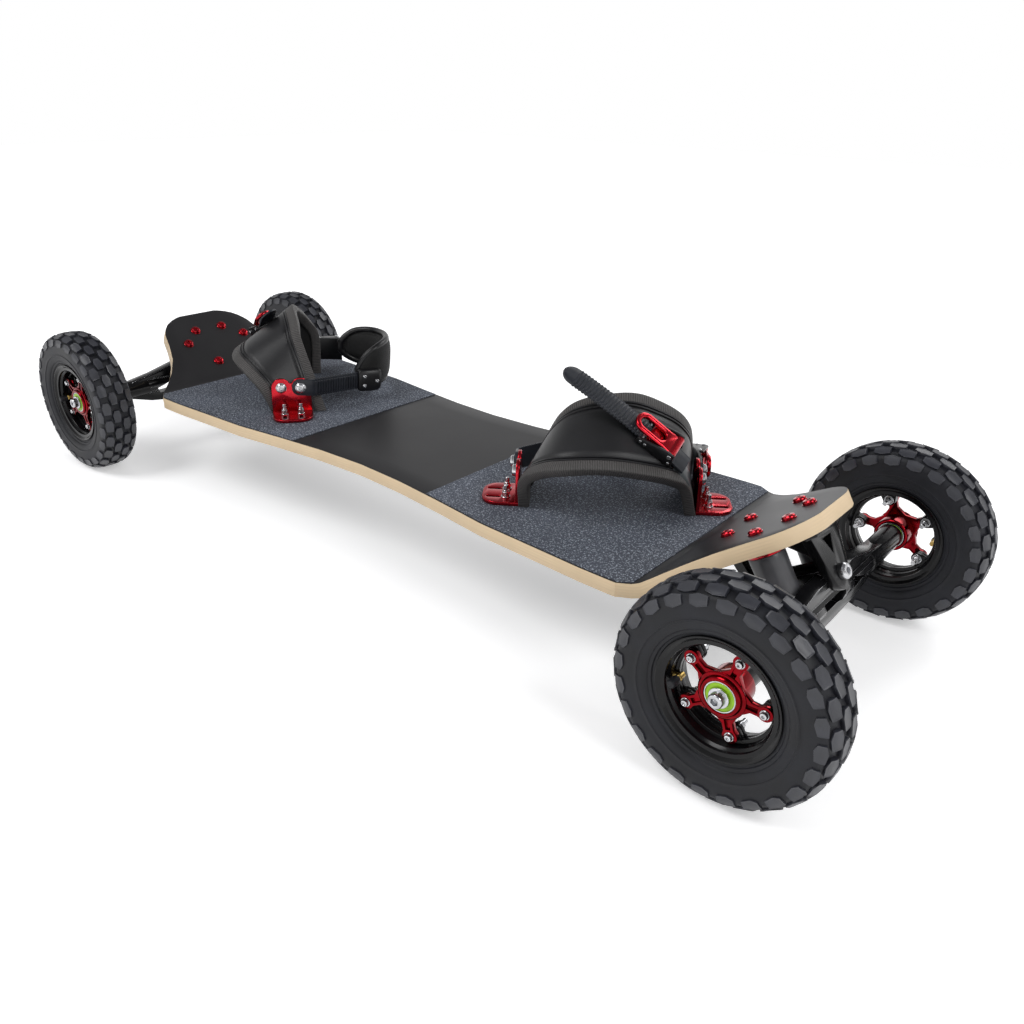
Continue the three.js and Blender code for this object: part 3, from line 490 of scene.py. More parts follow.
def lime_seal(settings):
    colour = tuple(settings.shield)
    return finish("lime seal", colour, lighter(colour, 0.75), patch=90, grain=3000,
                  roughness=0.32, spread=0.15, bump=0.06)


def brass():
    return finish("brass", (0.55, 0.38, 0.12), (0.36, 0.24, 0.08), patch=120, grain=4000,
                  roughness=0.25, spread=0.2, bump=0.06, Metallic=1.0)


def damper_urethane(settings):
    colour = tuple(settings.damper)
    return finish("damper urethane", colour, lighter(colour, 1.4), patch=40, grain=1800,
                  roughness=0.3, spread=0.18, bump=0.08, Coat_Weight=0.2, Coat_Roughness=0.3)


def moulded_shell(settings):
    colour = tuple(settings.shell)
    return finish("moulded shell", colour, lighter(colour, 1.5), patch=18, grain=1400,
                  roughness=0.36, spread=0.16, bump=0.22, Specular_IOR_Level=0.45)


def hard_plastic(settings):
    colour = lighter(tuple(settings.shell), 0.7)
    return finish("hard black plastic", colour, lighter(colour, 1.8), patch=60, grain=2400,
                  roughness=0.26, spread=0.18, bump=0.08, Specular_IOR_Level=0.4)


def strap_plastic(settings):
    colour = tuple(settings.strap)
    return finish("strap plastic", colour, lighter(colour, 1.5), patch=50, grain=1800,
                  roughness=0.3, spread=0.18, bump=0.12, Specular_IOR_Level=0.4)


def lining_cloth(settings):
    colour = tuple(settings.pad)
    return finish("lining cloth", colour, lighter(colour, 2.0), patch=30, grain=2600,
                  roughness=0.8, spread=0.12, bump=0.5, depth=0.0004, Specular_IOR_Level=0.3,
                  Sheen_Weight=0.1, Sheen_Roughness=0.5)


def painted_sheen_root_finish():
    """The smooth end of an instep strap, paler and more teal than its ladder as painted sheen."""
    # painted sheen: a paler teal-grey colour standing for light on the smooth plastic
    return finish("strap root", (0.020, 0.026, 0.029), (0.04, 0.05, 0.055), patch=40, grain=1800,
                  roughness=0.3, spread=0.15, bump=0.1)


def grip_sheet(settings):
    """Grit in a dark binder, with pale flecks on its grains as painted glints."""
    found = bpy.data.materials.get("grip sheet")
    if found:
        return found
    colour = tuple(settings.grip)
    material = finish("grip sheet", colour, lighter(colour, 1.5), patch=14, grain=900,
                      roughness=0.72, spread=0.15, bump=0.9, depth=0.0006)
    tree = material.node_tree
    coords = next(n for n in tree.nodes if n.type == "TEX_COORD")
    glinting_grit = node(tree, "ShaderNodeTexVoronoi", in_0=coords.outputs["Object"], in_2=560.0)
    pale = node(tree, "ShaderNodeTexNoise", in_0=coords.outputs["Object"], in_2=380.0)
    share = ranged(tree, glinting_grit.outputs["Distance"], 0.55, 0.2)
    glint_patches = ranged(tree, pale.outputs[0], 0.42, 0.6)
    # painted glints: the mask of pale flecks over the grains
    both = node(tree, "ShaderNodeMath", operation="MULTIPLY", in_0=share, in_1=glint_patches)
    shader = tree.nodes["Principled BSDF"]
    # the painted glint colour mixed into the binder's colour
    with_painted_glints = blend_colours(tree, both.outputs[0], tree.nodes["Grain"].outputs["Colour"],
                          (*settings.glinting_grit, 1))
    tree.links.new(with_painted_glints, shader.inputs["Base Color"])
    tree.links.new(glinting_grit.outputs["Distance"], tree.nodes["Relief"].inputs["Height"])
    return material


def deck_faces(settings):
    """The satin black faces of the laminate."""
    colour = tuple(settings.face)
    return finish("laminate face", colour, lighter(colour, 1.35), patch=9, grain=700,
                  roughness=0.34, spread=0.16, bump=0.05, Specular_IOR_Level=0.4)


def lined(material, attribute, pitch, shade):
    """Lays the ribs over a finish, along a value that the mesh carries, and returns their node."""
    tree = material.node_tree
    along = node(tree, "ShaderNodeAttribute", attribute_name=attribute)
    lines = tree.nodes.new("ShaderNodeGroup")
    lines.node_tree = ribs_group()
    lines.inputs["Pitch"].default_value = pitch
    lines.inputs["Shade"].default_value = (*shade, 1)
    tree.links.new(along.outputs["Fac"], lines.inputs["Along"])
    tree.links.new(tree.nodes["Grain"].outputs["Colour"], lines.inputs["Colour"])
    tree.links.new(lines.outputs["Colour"], tree.nodes["Principled BSDF"].inputs["Base Color"])
    return lines


def deck_edge(settings):
    """The sawn edge, with the plies as faint lines through its thickness."""
    found = bpy.data.materials.get("laminate edge")
    if found:
        return found
    wood = tuple(settings.wood)
    material = finish("laminate edge", wood, lighter(wood, 0.9), patch=22, grain=1100,
                      roughness=0.5, spread=0.12, bump=0.12)
    lined(material, "ply", 1 / settings.plies, lighter(wood, 0.94))
    return material


def ribbed_band(settings):
    """The knitted band round a pad's rim, ribbed across its run."""
    found = bpy.data.materials.get("rim band")
    if found:
        return found
    colour = tuple(settings.band)
    material = finish("rim band", colour, lighter(colour, 1.3), patch=30, grain=1600,
                      roughness=0.55, spread=0.12, bump=0.6, depth=0.0006)
    lines = lined(material, "run", settings.band_pitch, lighter(colour, 0.45))
    material.node_tree.links.new(
        lines.outputs["Height"], material.node_tree.nodes["Relief"].inputs["Height"])
    return material


# Settings

def distance(name, description, default):
    """A length that the user can set, in metres."""
    return FloatProperty(name=name, description=description, default=default, unit="LENGTH")


def tone(name, description, default):
    """A colour that the user can set."""
    return FloatVectorProperty(name=name, description=description, default=default, subtype="COLOR")


class DeckSettings(bpy.types.PropertyGroup):
    """The laminated deck and its grip sheets"""
    thickness: distance("Thickness", "Thickness of the laminate", 0.015)
    bend_at: distance("Bend", "Where the tip leaves the flat middle", 0.397)
    bend_radius: distance("Bend radius", "Radius of the bend", 0.02)
    tip_angle: FloatProperty(
        name="Tip angle", description="Rise of the tips", default=math.radians(32), subtype="ANGLE")
    tip_length: distance("Tip length", "Length of a tip from the bend", 0.136)
    half_width: distance("Half width", "Widest half width", 0.1465)
    grip_from: distance("Grip start", "Inner end of a grip sheet", 0.117)
    grip_to: distance("Grip end", "Outer end of a grip sheet", 0.393)
    plies: IntProperty(name="Plies", description="Plies that show in the edge", default=5)
    face: tone("Face", "Colour of the faces", (0.011, 0.0105, 0.0115))
    wood: tone("Edge", "Colour of the sawn edge", (0.80, 0.62, 0.40))
    grip: tone("Grip", "Colour of the grip's binder", (0.039, 0.045, 0.060))
    # the colour of the painted glints on the grip's grains
    glinting_grit: tone("Grit", "Colour of the grip's grains", (0.36, 0.40, 0.46))


class WheelSettings(bpy.types.PropertyGroup):
    """The air-tyred wheels"""
    radius: distance("Radius", "Radius of the tyre over its blocks", 0.1)
    pitches: IntProperty(name="Pitches", description="Tread blocks in each row", default=24)
    spokes: IntProperty(name="Spokes", description="Arms of the hub", default=5)
    rubber: tone("Rubber", "Colour of the tyre", (0.0062, 0.0066, 0.0088))
    rim_colour: tone("Rim", "Colour of the rim", (0.0025, 0.0025, 0.003))
    shield: tone("Seal", "Colour of the bearing seals", (0.36, 0.68, 0.012))


class TruckSettings(bpy.types.PropertyGroup):
    """The sprung trucks"""
    metal: tone("Castings", "Colour of the castings", (0.004, 0.004, 0.0045))
    damper: tone("Dampers", "Colour of the dampers", (0.055, 0.055, 0.06))


class MetalSettings(bpy.types.PropertyGroup):
    """The coloured metals"""
    red: tone("Red", "Colour of the brackets, levers, caps and deck bolts", (0.55, 0.006, 0.018))
    deep_red: tone("Deep red", "Colour of the hubs", (0.25, 0.001, 0.006))


class BindingSettings(bpy.types.PropertyGroup):
    """The foot bindings"""
    shell: tone("Shell", "Colour of the moulded pad", (0.006, 0.006, 0.007))
    band: tone("Rim band", "Colour of the pad's rim bands", (0.062, 0.058, 0.056))
    band_pitch: distance("Band pitch", "Distance between the ribs of a band", 0.0024)
    strap: tone("Straps", "Colour of the ladder straps", (0.011, 0.013, 0.018))
    pad: tone("Lining", "Colour of the soft pads", (0.008, 0.008, 0.008))
    voxel: distance("Voxel", "Mesh size of the stuffed pads", 0.003)


class StageSettings(bpy.types.PropertyGroup):
    """The floor and the lights"""
    floor: tone("Floor", "Colour of the floor", (0.85, 0.85, 0.85))
    ambient: FloatProperty(
        name="Ambient", description="Level of the light from all round", default=0.42)
    key: FloatProperty(name="Key light", description="Power of the key light in watts", default=46)
    fill: FloatProperty(
        name="Side light", description="Power of the side lights in watts", default=30)


# The deck

OUTLINE_SHARES = [
    (0, 0.808), (0.13, 0.831), (0.263, 0.887), (0.395, 0.953), (0.526, 0.976), (0.639, 0.998),
    (0.714, 1), (0.745, 0.931), (0.777, 0.805), (0.806, 0.71), (0.851, 0.6), (0.9, 0.532),
    (0.94, 0.491), (0.96, 0.45), (0.979, 0.382), (0.99, 0.314), (0.997, 0.246), (1, 0.2),
]

TIP_CORNER = 0.7
ROUND_TIP = 0.975


class DeckShape:
    """The deck's lines in millimetres, worked out from its settings."""

    def __init__(self, settings):
        self.thickness = settings.thickness / MM
        self.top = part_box("deck")[0].z / MM + self.thickness
        self.radius = settings.bend_radius / MM
        self.angle = settings.tip_angle
        tangent = self.radius * math.tan(self.angle / 2)
        self.start = settings.bend_at / MM - tangent
        self.bend = self.radius * self.angle
        self.end = self.start + self.bend + settings.tip_length / MM - tangent
        self.half_width = settings.half_width / MM
        self.bend_at = settings.bend_at / MM

    def place(self, along, across, height):
        """A point of the deck: its length from the middle, across, and height over the top face."""
        sign = -1 if along < 0 else 1
        reach = abs(along)
        turned = min(max((reach - self.start) / self.radius, 0), self.angle)
        straight = max(0, reach - self.start - self.bend)
        sine, cosine = math.sin(turned), math.cos(turned)
        x = min(reach, self.start) + self.radius * sine + straight * math.cos(self.angle)
        z = self.top + self.radius * (1 - cosine) + straight * math.sin(self.angle)
        return (sign * (x - height * sine), across, z + height * cosine)

    def half(self, along):
        """Half the deck's width at a length from the middle."""
        share = min(abs(along) / self.end, 1)
        for (a, low), (b, high) in zip(OUTLINE_SHARES, OUTLINE_SHARES[1:]):
            if share <= b:
                return self.half_width * (low + (high - low) * (share - a) / (b - a))
        return self.half_width * OUTLINE_SHARES[-1][1]

    def stations(self, first, last, step):
        """Lengths from first to last, closer together round the tips' corners."""
        found = [first]
        while found[-1] < last:
            share = abs(found[-1]) / self.end
            finer = 8 if share > ROUND_TIP else 2 if share > TIP_CORNER else 1
            found.append(found[-1] + step / finer)
        found[-1] = last
        return found

    def layer(self, name, first, last, low, high, inset, columns=8):
        """A layer of the deck between two lengths and two heights over its top face."""
        steps = self.stations(first, last, 12)
        count = len(steps) - 1

        def at(height):
            def point(u, v):
                along = steps[round(u * count)]
                return self.place(along, (2 * v - 1) * (self.half(along) - inset), height)
            return point

        return shell(name, count, columns, at(high), at(low))

    def tip(self, sign):
        """The frame of a tip: along it, across, and up from its top face."""
        return facing(sign) @ move(self.bend_at, 0, self.top) @ turn(-math.degrees(self.angle), "Y")

    def ply_at(self, place):
        """How far up through the laminate a point lies, from 0 to 1."""
        along, up = abs(place.x) / MM - self.bend_at, place.z / MM - self.top
        tipped = -along * math.sin(self.angle) + up * math.cos(self.angle)
        height = up if along < up * math.tan(-self.angle / 2) else tipped
        return min(max(1 + height / self.thickness, 0), 1)


class MakeDeck(bpy.types.Operator):
    """The bent laminate and the grip sheet glued to each half"""
    bl_idname = "board.deck"
    bl_label = "Deck"

    def execute(self, context):
        settings = context.scene.board_deck
        shape = DeckShape(settings)
        deck = shape.layer("deck laminate", -shape.end, shape.end, -shape.thickness, 0, 0)
        dressed(deck, deck_faces(settings), deck_edge(settings))
        for face in deck.data.polygons:
            face.material_index = 0 if abs(face.normal.z) > 0.7 else 1
        softened(bevelled(deck, 0.7, 2, 50), 25)
        ply = deck.data.attributes.new("ply", "FLOAT", "POINT")
        for item, vertex in zip(ply.data, deck.data.vertices):
            item.value = shape.ply_at(vertex.co)
        fitted(deck, "board", "laminate", ["deck"])
        for name, sign in ENDS.items():
            first, last = sorted((sign * settings.grip_from / MM, sign * settings.grip_to / MM))
            sheet = shape.layer(f"{name} grip sheet", first, last, 0.05, 1.0, 1.5)
            bevelled(sheet, 0.3, 1, 50)
            fitted(dressed(softened(sheet), grip_sheet(settings)), "board", "laminate")
        return {"FINISHED"}


# Bolts

WASHER_HEIGHT = 1
NUT_STACK = ((24, 5.2, 0, 1), (6, 4.4, 1, 6.2), (24, 3.3, 6.2, 8), (16, 2.4, 8, 13.5))
DECK_BOLTS = ((35, 24), (79, 48), (101.5, 22.5))
SURFACE_GAP = 0.05


def button_bolt(name, radius, height, material, washer=0.0):
    """A round head with a hexagon socket, its seat at the origin and its top along +Z."""
    profile = [(0, height), (radius * 0.55, height), (radius * 0.82, height * 0.84),
               (radius, height * 0.45), (radius, 0), (0, 0)]
    head = put(spun(name, profile, 24, close=False), turn(90, "X"))
    parts = [without(head, bar(6, radius * 0.42, height, (0, 0, height)))]
    if washer:
        disc = spun("washer", section(0, washer, 0, WASHER_HEIGHT), 24, close=False)
        parts.append(put(disc, turn(90, "X")))
        put(head, move(0, 0, WASHER_HEIGHT))
    bolt = together(name, parts)
    bevelled(bolt, 0.25, 1, 40)
    return dressed(softened(bolt, 30), material)


def nut_stack(name, material):
    """A washer, a nut with its collar and the bolt's end, standing on the origin along +Z. Each row
    of the table is a step's sides, radius, bottom and top."""
    stack = together(name, [bar(sides, radius, top - bottom, (0, 0, (top + bottom) / 2))
                            for sides, radius, bottom, top in NUT_STACK])
    bevelled(stack, 0.3, 1, 40)
    return dressed(softened(stack, 30), material)


class MakeDeckBolts(bpy.types.Operator):
    """The bolts that hold the trucks to the deck's tips"""
    bl_idname = "board.deck_bolts"
    bl_label = "Deck bolts"

    def execute(self, context):
        shape = DeckShape(context.scene.board_deck)
        bolt = button_bolt("deck bolt", radius=6.6, height=3.4, material=red_anodised(), washer=7.4)
        for name, sign in ENDS.items():
            places = [shape.tip(sign) @ move(along, side * across, SURFACE_GAP)
                      for along, across in DECK_BOLTS for side in (1, -1)]
            bolts = [put(copied(bolt, "deck bolt"), place) for place in places]
            fitted(together(f"{name} deck bolts", bolts), "board", "red_metal")
        removed(bolt)
        return {"FINISHED"}


# Wheels, in millimetres: profiles of (radius, along the axle outwards from the wheel's middle)

TYRE_PROFILE = [
    (47.8, 17.7), (55.9, 17.7), (56.3, 18.7), (58.2, 19.2), (59.0, 20.6), (61.5, 21.3),
    (62.2, 22.4), (66, 23.9), (69.6, 24.5), (70.2, 25.3), (71.4, 25.3), (72.0, 24.8), (78, 25.2),
    (83.4, 25.0), (86.5, 24.7), (89, 24.1), (91.6, 22.2), (93.4, 19.2), (94.8, 15), (95.4, 8),
    (95.6, 0),
]
TREAD_LINE = [
    (0, 100), (8, 99.7), (14, 98.9), (19, 97), (22.6, 94.2), (25.2, 90), (26.4, 84.5), (26.5, 77),
]
TREAD_ROWS = (
    (0, [(-0.33, 2.8), (-0.04, 0.8), (0.31, 2.2), (0.33, 10.4), (-0.1, 11.9), (-0.33, 9.4)]),
    (0.5, [(-0.33, 15.0), (-0.06, 12.6), (0.32, 13.6), (0.34, 23.2), (-0.04, 24.6), (-0.33, 22.2)]),
    (0, [(-0.34, 26.8), (-0.02, 25.0), (0.35, 26.2), (0.34, 34.6), (-0.08, 36.6), (-0.34, 34.0)]),
)
BLOCK_HEIGHT = 5.2
BLOCK_CUTS = 4
RIM_PROFILE = [
    (42, 0.15), (47.5, 0.15), (47.5, 18), (55.5, 18), (55.5, 20.5), (54.2, 20.5), (45, 12.7),
    (45, 4.55), (42, 4.55),
]
RIM_GAP = 0.15
RIM_FACE = 4.55
BOLT_CIRCLE = 37
BOLT_HOLE = 2.6
FIRST_SPOKE = 108
LUG_RADIUS = 6.5
LUG_THICKNESS = 4.4
LUG_OUTLINE_ENDS = [(43, -8.5), (43, 8.5)]
BARREL_PROFILE = [(14.3, -14), (16.6, -14), (18, -12.6), (18, 12.6), (16.6, 14), (14.3, 14)]
COLLAR_PROFILE = [(18, 9.2), (21.3, 9.2), (21.3, 10.6), (19.6, 11.4), (18, 11.4)]
STAR_ROOT = 20
STAR_BORE = 15
STAR_FACE = 9.85
STAR_THICKNESS = 5
ARM_EDGE = [(21.5, 7.5), (25, 4.6), (30.5, 4.4)]
GROOVE_LENGTH = (20.5, 31)
GROOVE_HALF = 2.3
INNER_RACE = (5.3, 7.4)
OUTER_RACE = (12.9, 14)
RACE_BACK = 5.5
RACE_FACE = 13.5
SEAL_PROFILE = [(7.5, 6), (12.8, 6), (12.8, 12.7), (11.6, 13.1), (8.8, 13.1), (7.5, 12.6)]
AXLE_PROFILE = [
    (0, -55.5), (4.2, -55.5), (5, -54.5), (5, 13.8), (9, 13.8), (9, 15.4), (8.6, 15.8), (6.6, 15.8),
    (6.6, 20.8), (5.9, 22.0), (5.2, 22.3), (0, 22.3),
]
NUT_SEAT = -4.6
VALVE_SEAT = (39.5, 1.5, -3)
STEM_RADIUS = 2.6
STEM_PROFILE = [
    (0, 0), (STEM_RADIUS, 0), (STEM_RADIUS, 6.4), (3.4, 6.4), (3.4, 8), (2.4, 8.6), (2.4, 10),
    (0, 10),
]
CAP_PROFILE = [(0, 9.4), (3.4, 9.4), (3.9, 10.2), (3.9, 18.6), (3.0, 20.2), (0, 20.2)]


def wheel_places():
    """Each wheel's name and the frame of its centre, with its outer side along +Y."""
    for end in ENDS:
        for side, sign in SIDES.items():
            low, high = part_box(f"{end}_{side}_bearings")
            yield f"{end}_{side}", Matrix.Translation((low + high) / 2) @ facing(sign)


def spread(piece, part, slot, body="wheel"):
    """Puts a copy of the piece in each wheel, for the CAD node of this part if it has one, and
    deletes the first."""
    for name, place in wheel_places():
        twin = put(copied(piece, f"{name} {piece.name}"), place)
        at = f"{name}_wheel" if body == "wheel" else f"{name.split('_')[0]}_truck"
        fitted(twin, at, slot, [f"{name}_{part}"] if part else ())
    removed(piece)


def spoke_angle(i, spokes):
    """The angle of an arm in degrees."""
    return FIRST_SPOKE + i * 360 / spokes


def tread_block(outline, radius, pitch):
    """One block: an outline extruded outwards, its top slightly dished, wrapped round the tyre.
    Its second coordinates are lengths from the middle over the tread's rounded line."""
    piece = plate("block", [(share * pitch * radius, y) for share, y in outline], BLOCK_HEIGHT)

    def dish():
        bpy.ops.mesh.select_all(action="DESELECT")
        bpy.ops.mesh.select_mode(type="FACE")
        bpy.ops.object.mode_set(mode="OBJECT")
        for face in piece.data.polygons:
            face.select = face.normal.z > 0.9
        bpy.ops.object.mode_set(mode="EDIT")
        bpy.ops.mesh.inset(thickness=1.2 * MM, depth=-0.5 * MM)
        bpy.ops.mesh.select_mode(type="VERT")

    bevelled(edit(piece, dish), 0.4, 2, 20)
    low, high = min(y for _, y in outline), max(y for _, y in outline)
    for i in range(1, BLOCK_CUTS + 1):
        cut = (0, (low + (high - low) * i / (BLOCK_CUTS + 1)) * MM, 0)
        edit(piece, lambda: bpy.ops.mesh.bisect(plane_co=cut, plane_no=(0, 1, 0)))
    at, _ = strap_line(TREAD_LINE)
    for vertex in piece.data.vertices:
        x, y, z = vertex.co / MM
        place, way = at(y)
        across = place.x - way.y * (z - BLOCK_HEIGHT)
        reach = place.y + way.x * (z - BLOCK_HEIGHT)
        angle = x / radius
        vertex.co = Vector((reach * math.sin(angle), across, -reach * math.cos(angle))) * MM
    return piece


class MakeTyres(bpy.types.Operator):
    """The air tyres with their six staggered rows of blocks"""
    bl_idname = "board.tyres"
    bl_label = "Tyres"

    def execute(self, context):
        settings = context.scene.board_wheels
        radius = settings.radius / MM
        half = TYRE_PROFILE[:2] + smooth_line(TYRE_PROFILE[2:], 2)
        body = spun("tyre", half + [(r, -y) for r, y in reversed(half[:-1])], 96)
        pitch = math.tau / settings.pitches
        pieces = []
        for shift, outline in TREAD_ROWS:
            block = tread_block(outline, radius, pitch)
            for side in (1, -1):
                stagger = shift + (0.5 if side < 0 else 0)
                for i in range(settings.pitches):
                    place = turn(math.degrees((i + stagger) * pitch), "Y") @ facing(side)
                    pieces.append(put(copied(block, "block"), place))
            removed(block)
        tread = together("tread", pieces)
        spread(dressed(softened(body, 38), tyre_rubber(settings)), "tyre", "tyre")
        # the blocks carry the rubber with painted sheen, paler than the tyre's body
        spread(dressed(softened(tread, 30), painted_sheen_tread_rubber(settings)), "", "tyre")
        return {"FINISHED"}


class MakeRims(bpy.types.Operator):
    """The split rims, with the lugs that the hub is bolted to"""
    bl_idname = "board.rims"
    bl_label = "Rims"

    def execute(self, context):
        settings = context.scene.board_wheels
        for part, side in (("rim_outer", 1), ("rim_inner", -1)):
            name = part.replace("_", " ")
            rim = spun(name, [(r, side * y) for r, y in RIM_PROFILE], 96)
            pieces = [bevelled(rim, 0.5, 2, 25)]
            for i in range(settings.spokes):
                outline = LUG_OUTLINE_ENDS + arc(BOLT_CIRCLE, 0, LUG_RADIUS, 110, 250, 10)
                lug = plate("lug", outline, LUG_THICKNESS)
                without(lug, bar(24, BOLT_HOLE, 24, (BOLT_CIRCLE, 0, 0)))
                bevelled(lug, 0.4, 2, 40)
                lift = move(0, RIM_FACE if side > 0 else -RIM_GAP, 0)
                arm = turn(-spoke_angle(i, settings.spokes), "Y")
                pieces.append(put(lug, lift @ arm @ turn(90, "X")))
            rim = together(name, pieces)
            spread(dressed(softened(rim, 30), rim_black(settings)), part, "rim_metal")
        return {"FINISHED"}


class MakeHubs(bpy.types.Operator):
    """The red star hubs"""
    bl_idname = "board.hubs"
    bl_label = "Hubs"

    def execute(self, context):
        settings = context.scene.board_wheels
        spokes = settings.spokes
        barrel = bevelled(spun("hub", BARREL_PROFILE, 64), 0.4, 2, 25)
        root = math.pi / spokes
        arm = [(STAR_ROOT * math.cos(root), -STAR_ROOT * math.sin(root))]
        arm += [(x, -y) for x, y in ARM_EDGE] + arc(BOLT_CIRCLE, 0, LUG_RADIUS, -132, 132, 18)
        arm += ARM_EDGE[::-1]
        angles = [math.radians(spoke_angle(i, spokes)) for i in range(spokes)]
        outline = [(x * math.cos(angle) - y * math.sin(angle),
                    x * math.sin(angle) + y * math.cos(angle)) for angle in angles for x, y in arm]
        star = plate("star", outline, STAR_THICKNESS)
        without(star, bar(48, STAR_BORE, 16, (0, 0, 0)))
        start, end = GROOVE_LENGTH
        for angle in angles:
            hole = (BOLT_CIRCLE * math.cos(angle), BOLT_CIRCLE * math.sin(angle), 0)
            without(star, bar(24, BOLT_HOLE, 16, hole))
            groove = plate("groove", [(start, -GROOVE_HALF), (end, -GROOVE_HALF),
                                      (end, GROOVE_HALF), (start, GROOVE_HALF)], 4)
            without(star, put(groove, turn(math.degrees(angle), "Z") @ move(0, 0, -1)))
        bevelled(star, 0.6, 2, 40)
        put(star, move(0, STAR_FACE, 0) @ turn(90, "X"))
        collar = bevelled(spun("collar", COLLAR_PROFILE, 64), 0.3, 2, 25)
        hub = together("hub", [barrel, star, collar])
        spread(dressed(softened(hub, 30), deep_red_anodised()), "hub", "red_metal")
        return {"FINISHED"}


class MakeBearings(bpy.types.Operator):
    """The bearings with their coloured seals, and the spacer between them"""
    bl_idname = "board.bearings"
    bl_label = "Bearings"

    def execute(self, context):
        settings = context.scene.board_wheels
        races = []
        for side in (1, -1):
            for inner, outer in (INNER_RACE, OUTER_RACE):
                ring = section(inner, outer, side * RACE_BACK, side * RACE_FACE)
                races.append(bevelled(spun("race", ring, 48), 0.25, 2, 30))
        races.append(spun("spacer", section(*INNER_RACE, -RACE_BACK, RACE_BACK), 32))
        steel = dressed(softened(together("bearings", races), 30), bright_steel())
        seals = [spun("seal", [(r, side * y) for r, y in SEAL_PROFILE], 48) for side in (1, -1)]
        seal = dressed(softened(together("seals", seals), 30), lime_seal(settings))
        spread(steel, "bearings", "bearing")
        spread(seal, "", "bearing")
        return {"FINISHED"}


class MakeAxles(bpy.types.Operator):
    """The stub axles with their socket heads and washers"""
    bl_idname = "board.axles"
    bl_label = "Axles"

    def execute(self, context):
        axle = spun("axle", AXLE_PROFILE, 48, close=False)
        without(axle, bar(6, 3.5, 8, (0, AXLE_PROFILE[-1][1], 0), "Y"))
        bevelled(axle, 0.3, 2, 30)
        spread(dressed(softened(axle, 30), bright_steel()), "axle", "steel", "truck")
        return {"FINISHED"}


class MakeRimBolts(bpy.types.Operator):
    """The bolts that clamp the rim halves to the hub, and their nuts"""
    bl_idname = "board.rim_bolts"
    bl_label = "Rim bolts"

    def execute(self, context):
        settings = context.scene.board_wheels
        bolt = button_bolt("bolt", radius=3.4, height=2.8, material=bright_steel(), washer=4.2)
        nut = nut_stack("nut", bright_steel())
        pieces = []
        for i in range(settings.spokes):
            arm = turn(-spoke_angle(i, settings.spokes), "Y") @ move(BOLT_CIRCLE, 0, 0)
            pieces.append(put(copied(bolt, "bolt"), arm @ move(0, STAR_FACE, 0) @ turn(-90, "X")))
            pieces.append(put(copied(nut, "nut"), arm @ move(0, NUT_SEAT, 0) @ turn(90, "X")))
        removed(bolt, nut)
        spread(together("rim bolts", pieces), "", "steel")
        return {"FINISHED"}


class MakeValves(bpy.types.Operator):
    """The tube's valve stem and its cap, between two arms of each hub"""
    bl_idname = "board.valves"
    bl_label = "Valves"

    def execute(self, context):
        settings = context.scene.board_wheels
        elbow = put(spun("elbow", section(0, STEM_RADIUS, 0, 8), 24, close=False),
                    move(0, 5, 0) @ turn(-90, "Z"))
        stem = spun("valve stem", STEM_PROFILE, 24, close=False)
        stem = together("valve stem", [stem, elbow])
        cap = spun("valve cap", CAP_PROFILE, 24, close=False)
        for piece, material in ((stem, brass()), (cap, tyre_rubber(settings))):
            dressed(softened(bevelled(piece, 0.3, 1, 30), 30), material)
            spread(put(piece, move(*VALVE_SEAT)), "", "rim_metal")
        return {"FINISHED"}


# Trucks, in millimetres from a deck tip's bend: along the tip, across, and up from its top face

AXLE_LINE = (91.4, 0, -86.7)
SLEEVE_RADIUS = 13.1
SLEEVE_ENDS = (96, 175.6)
KINGPIN_LINE = (0, 0, -64.5)
KINGPIN_RADIUS = 5
KINGPIN_ENDS = (29.7, 118.3)
HEAD_RADIUS = 8
HEAD_HEIGHT = 7
KINGPIN_NUT = 26.2
DAMPER_AT = (78, 42)
DAMPER_PROFILE = [
    (16.4, -21.8), (17.5, -23.2), (17.2, -36), (16.9, -46.8), (17.2, -58), (17.5, -70.2),
    (16.4, -71.7),
]
DAMPER_CAP_PROFILE = [
    (0, -15.3), (17.6, -15.3), (18.5, -16.2), (18.5, -19.6), (17.7, -20.4), (17.7, -21.3),
    (0, -21.3),
]


def tube(name, radius, start, end, steps=48, chamfer=1.0):
    """A round bar along Y."""
    profile = [(0, start), (radius - chamfer, start), (radius, start + chamfer),
               (radius, end - chamfer), (radius - chamfer, end), (0, end)]
    return spun(name, profile, steps, close=False)


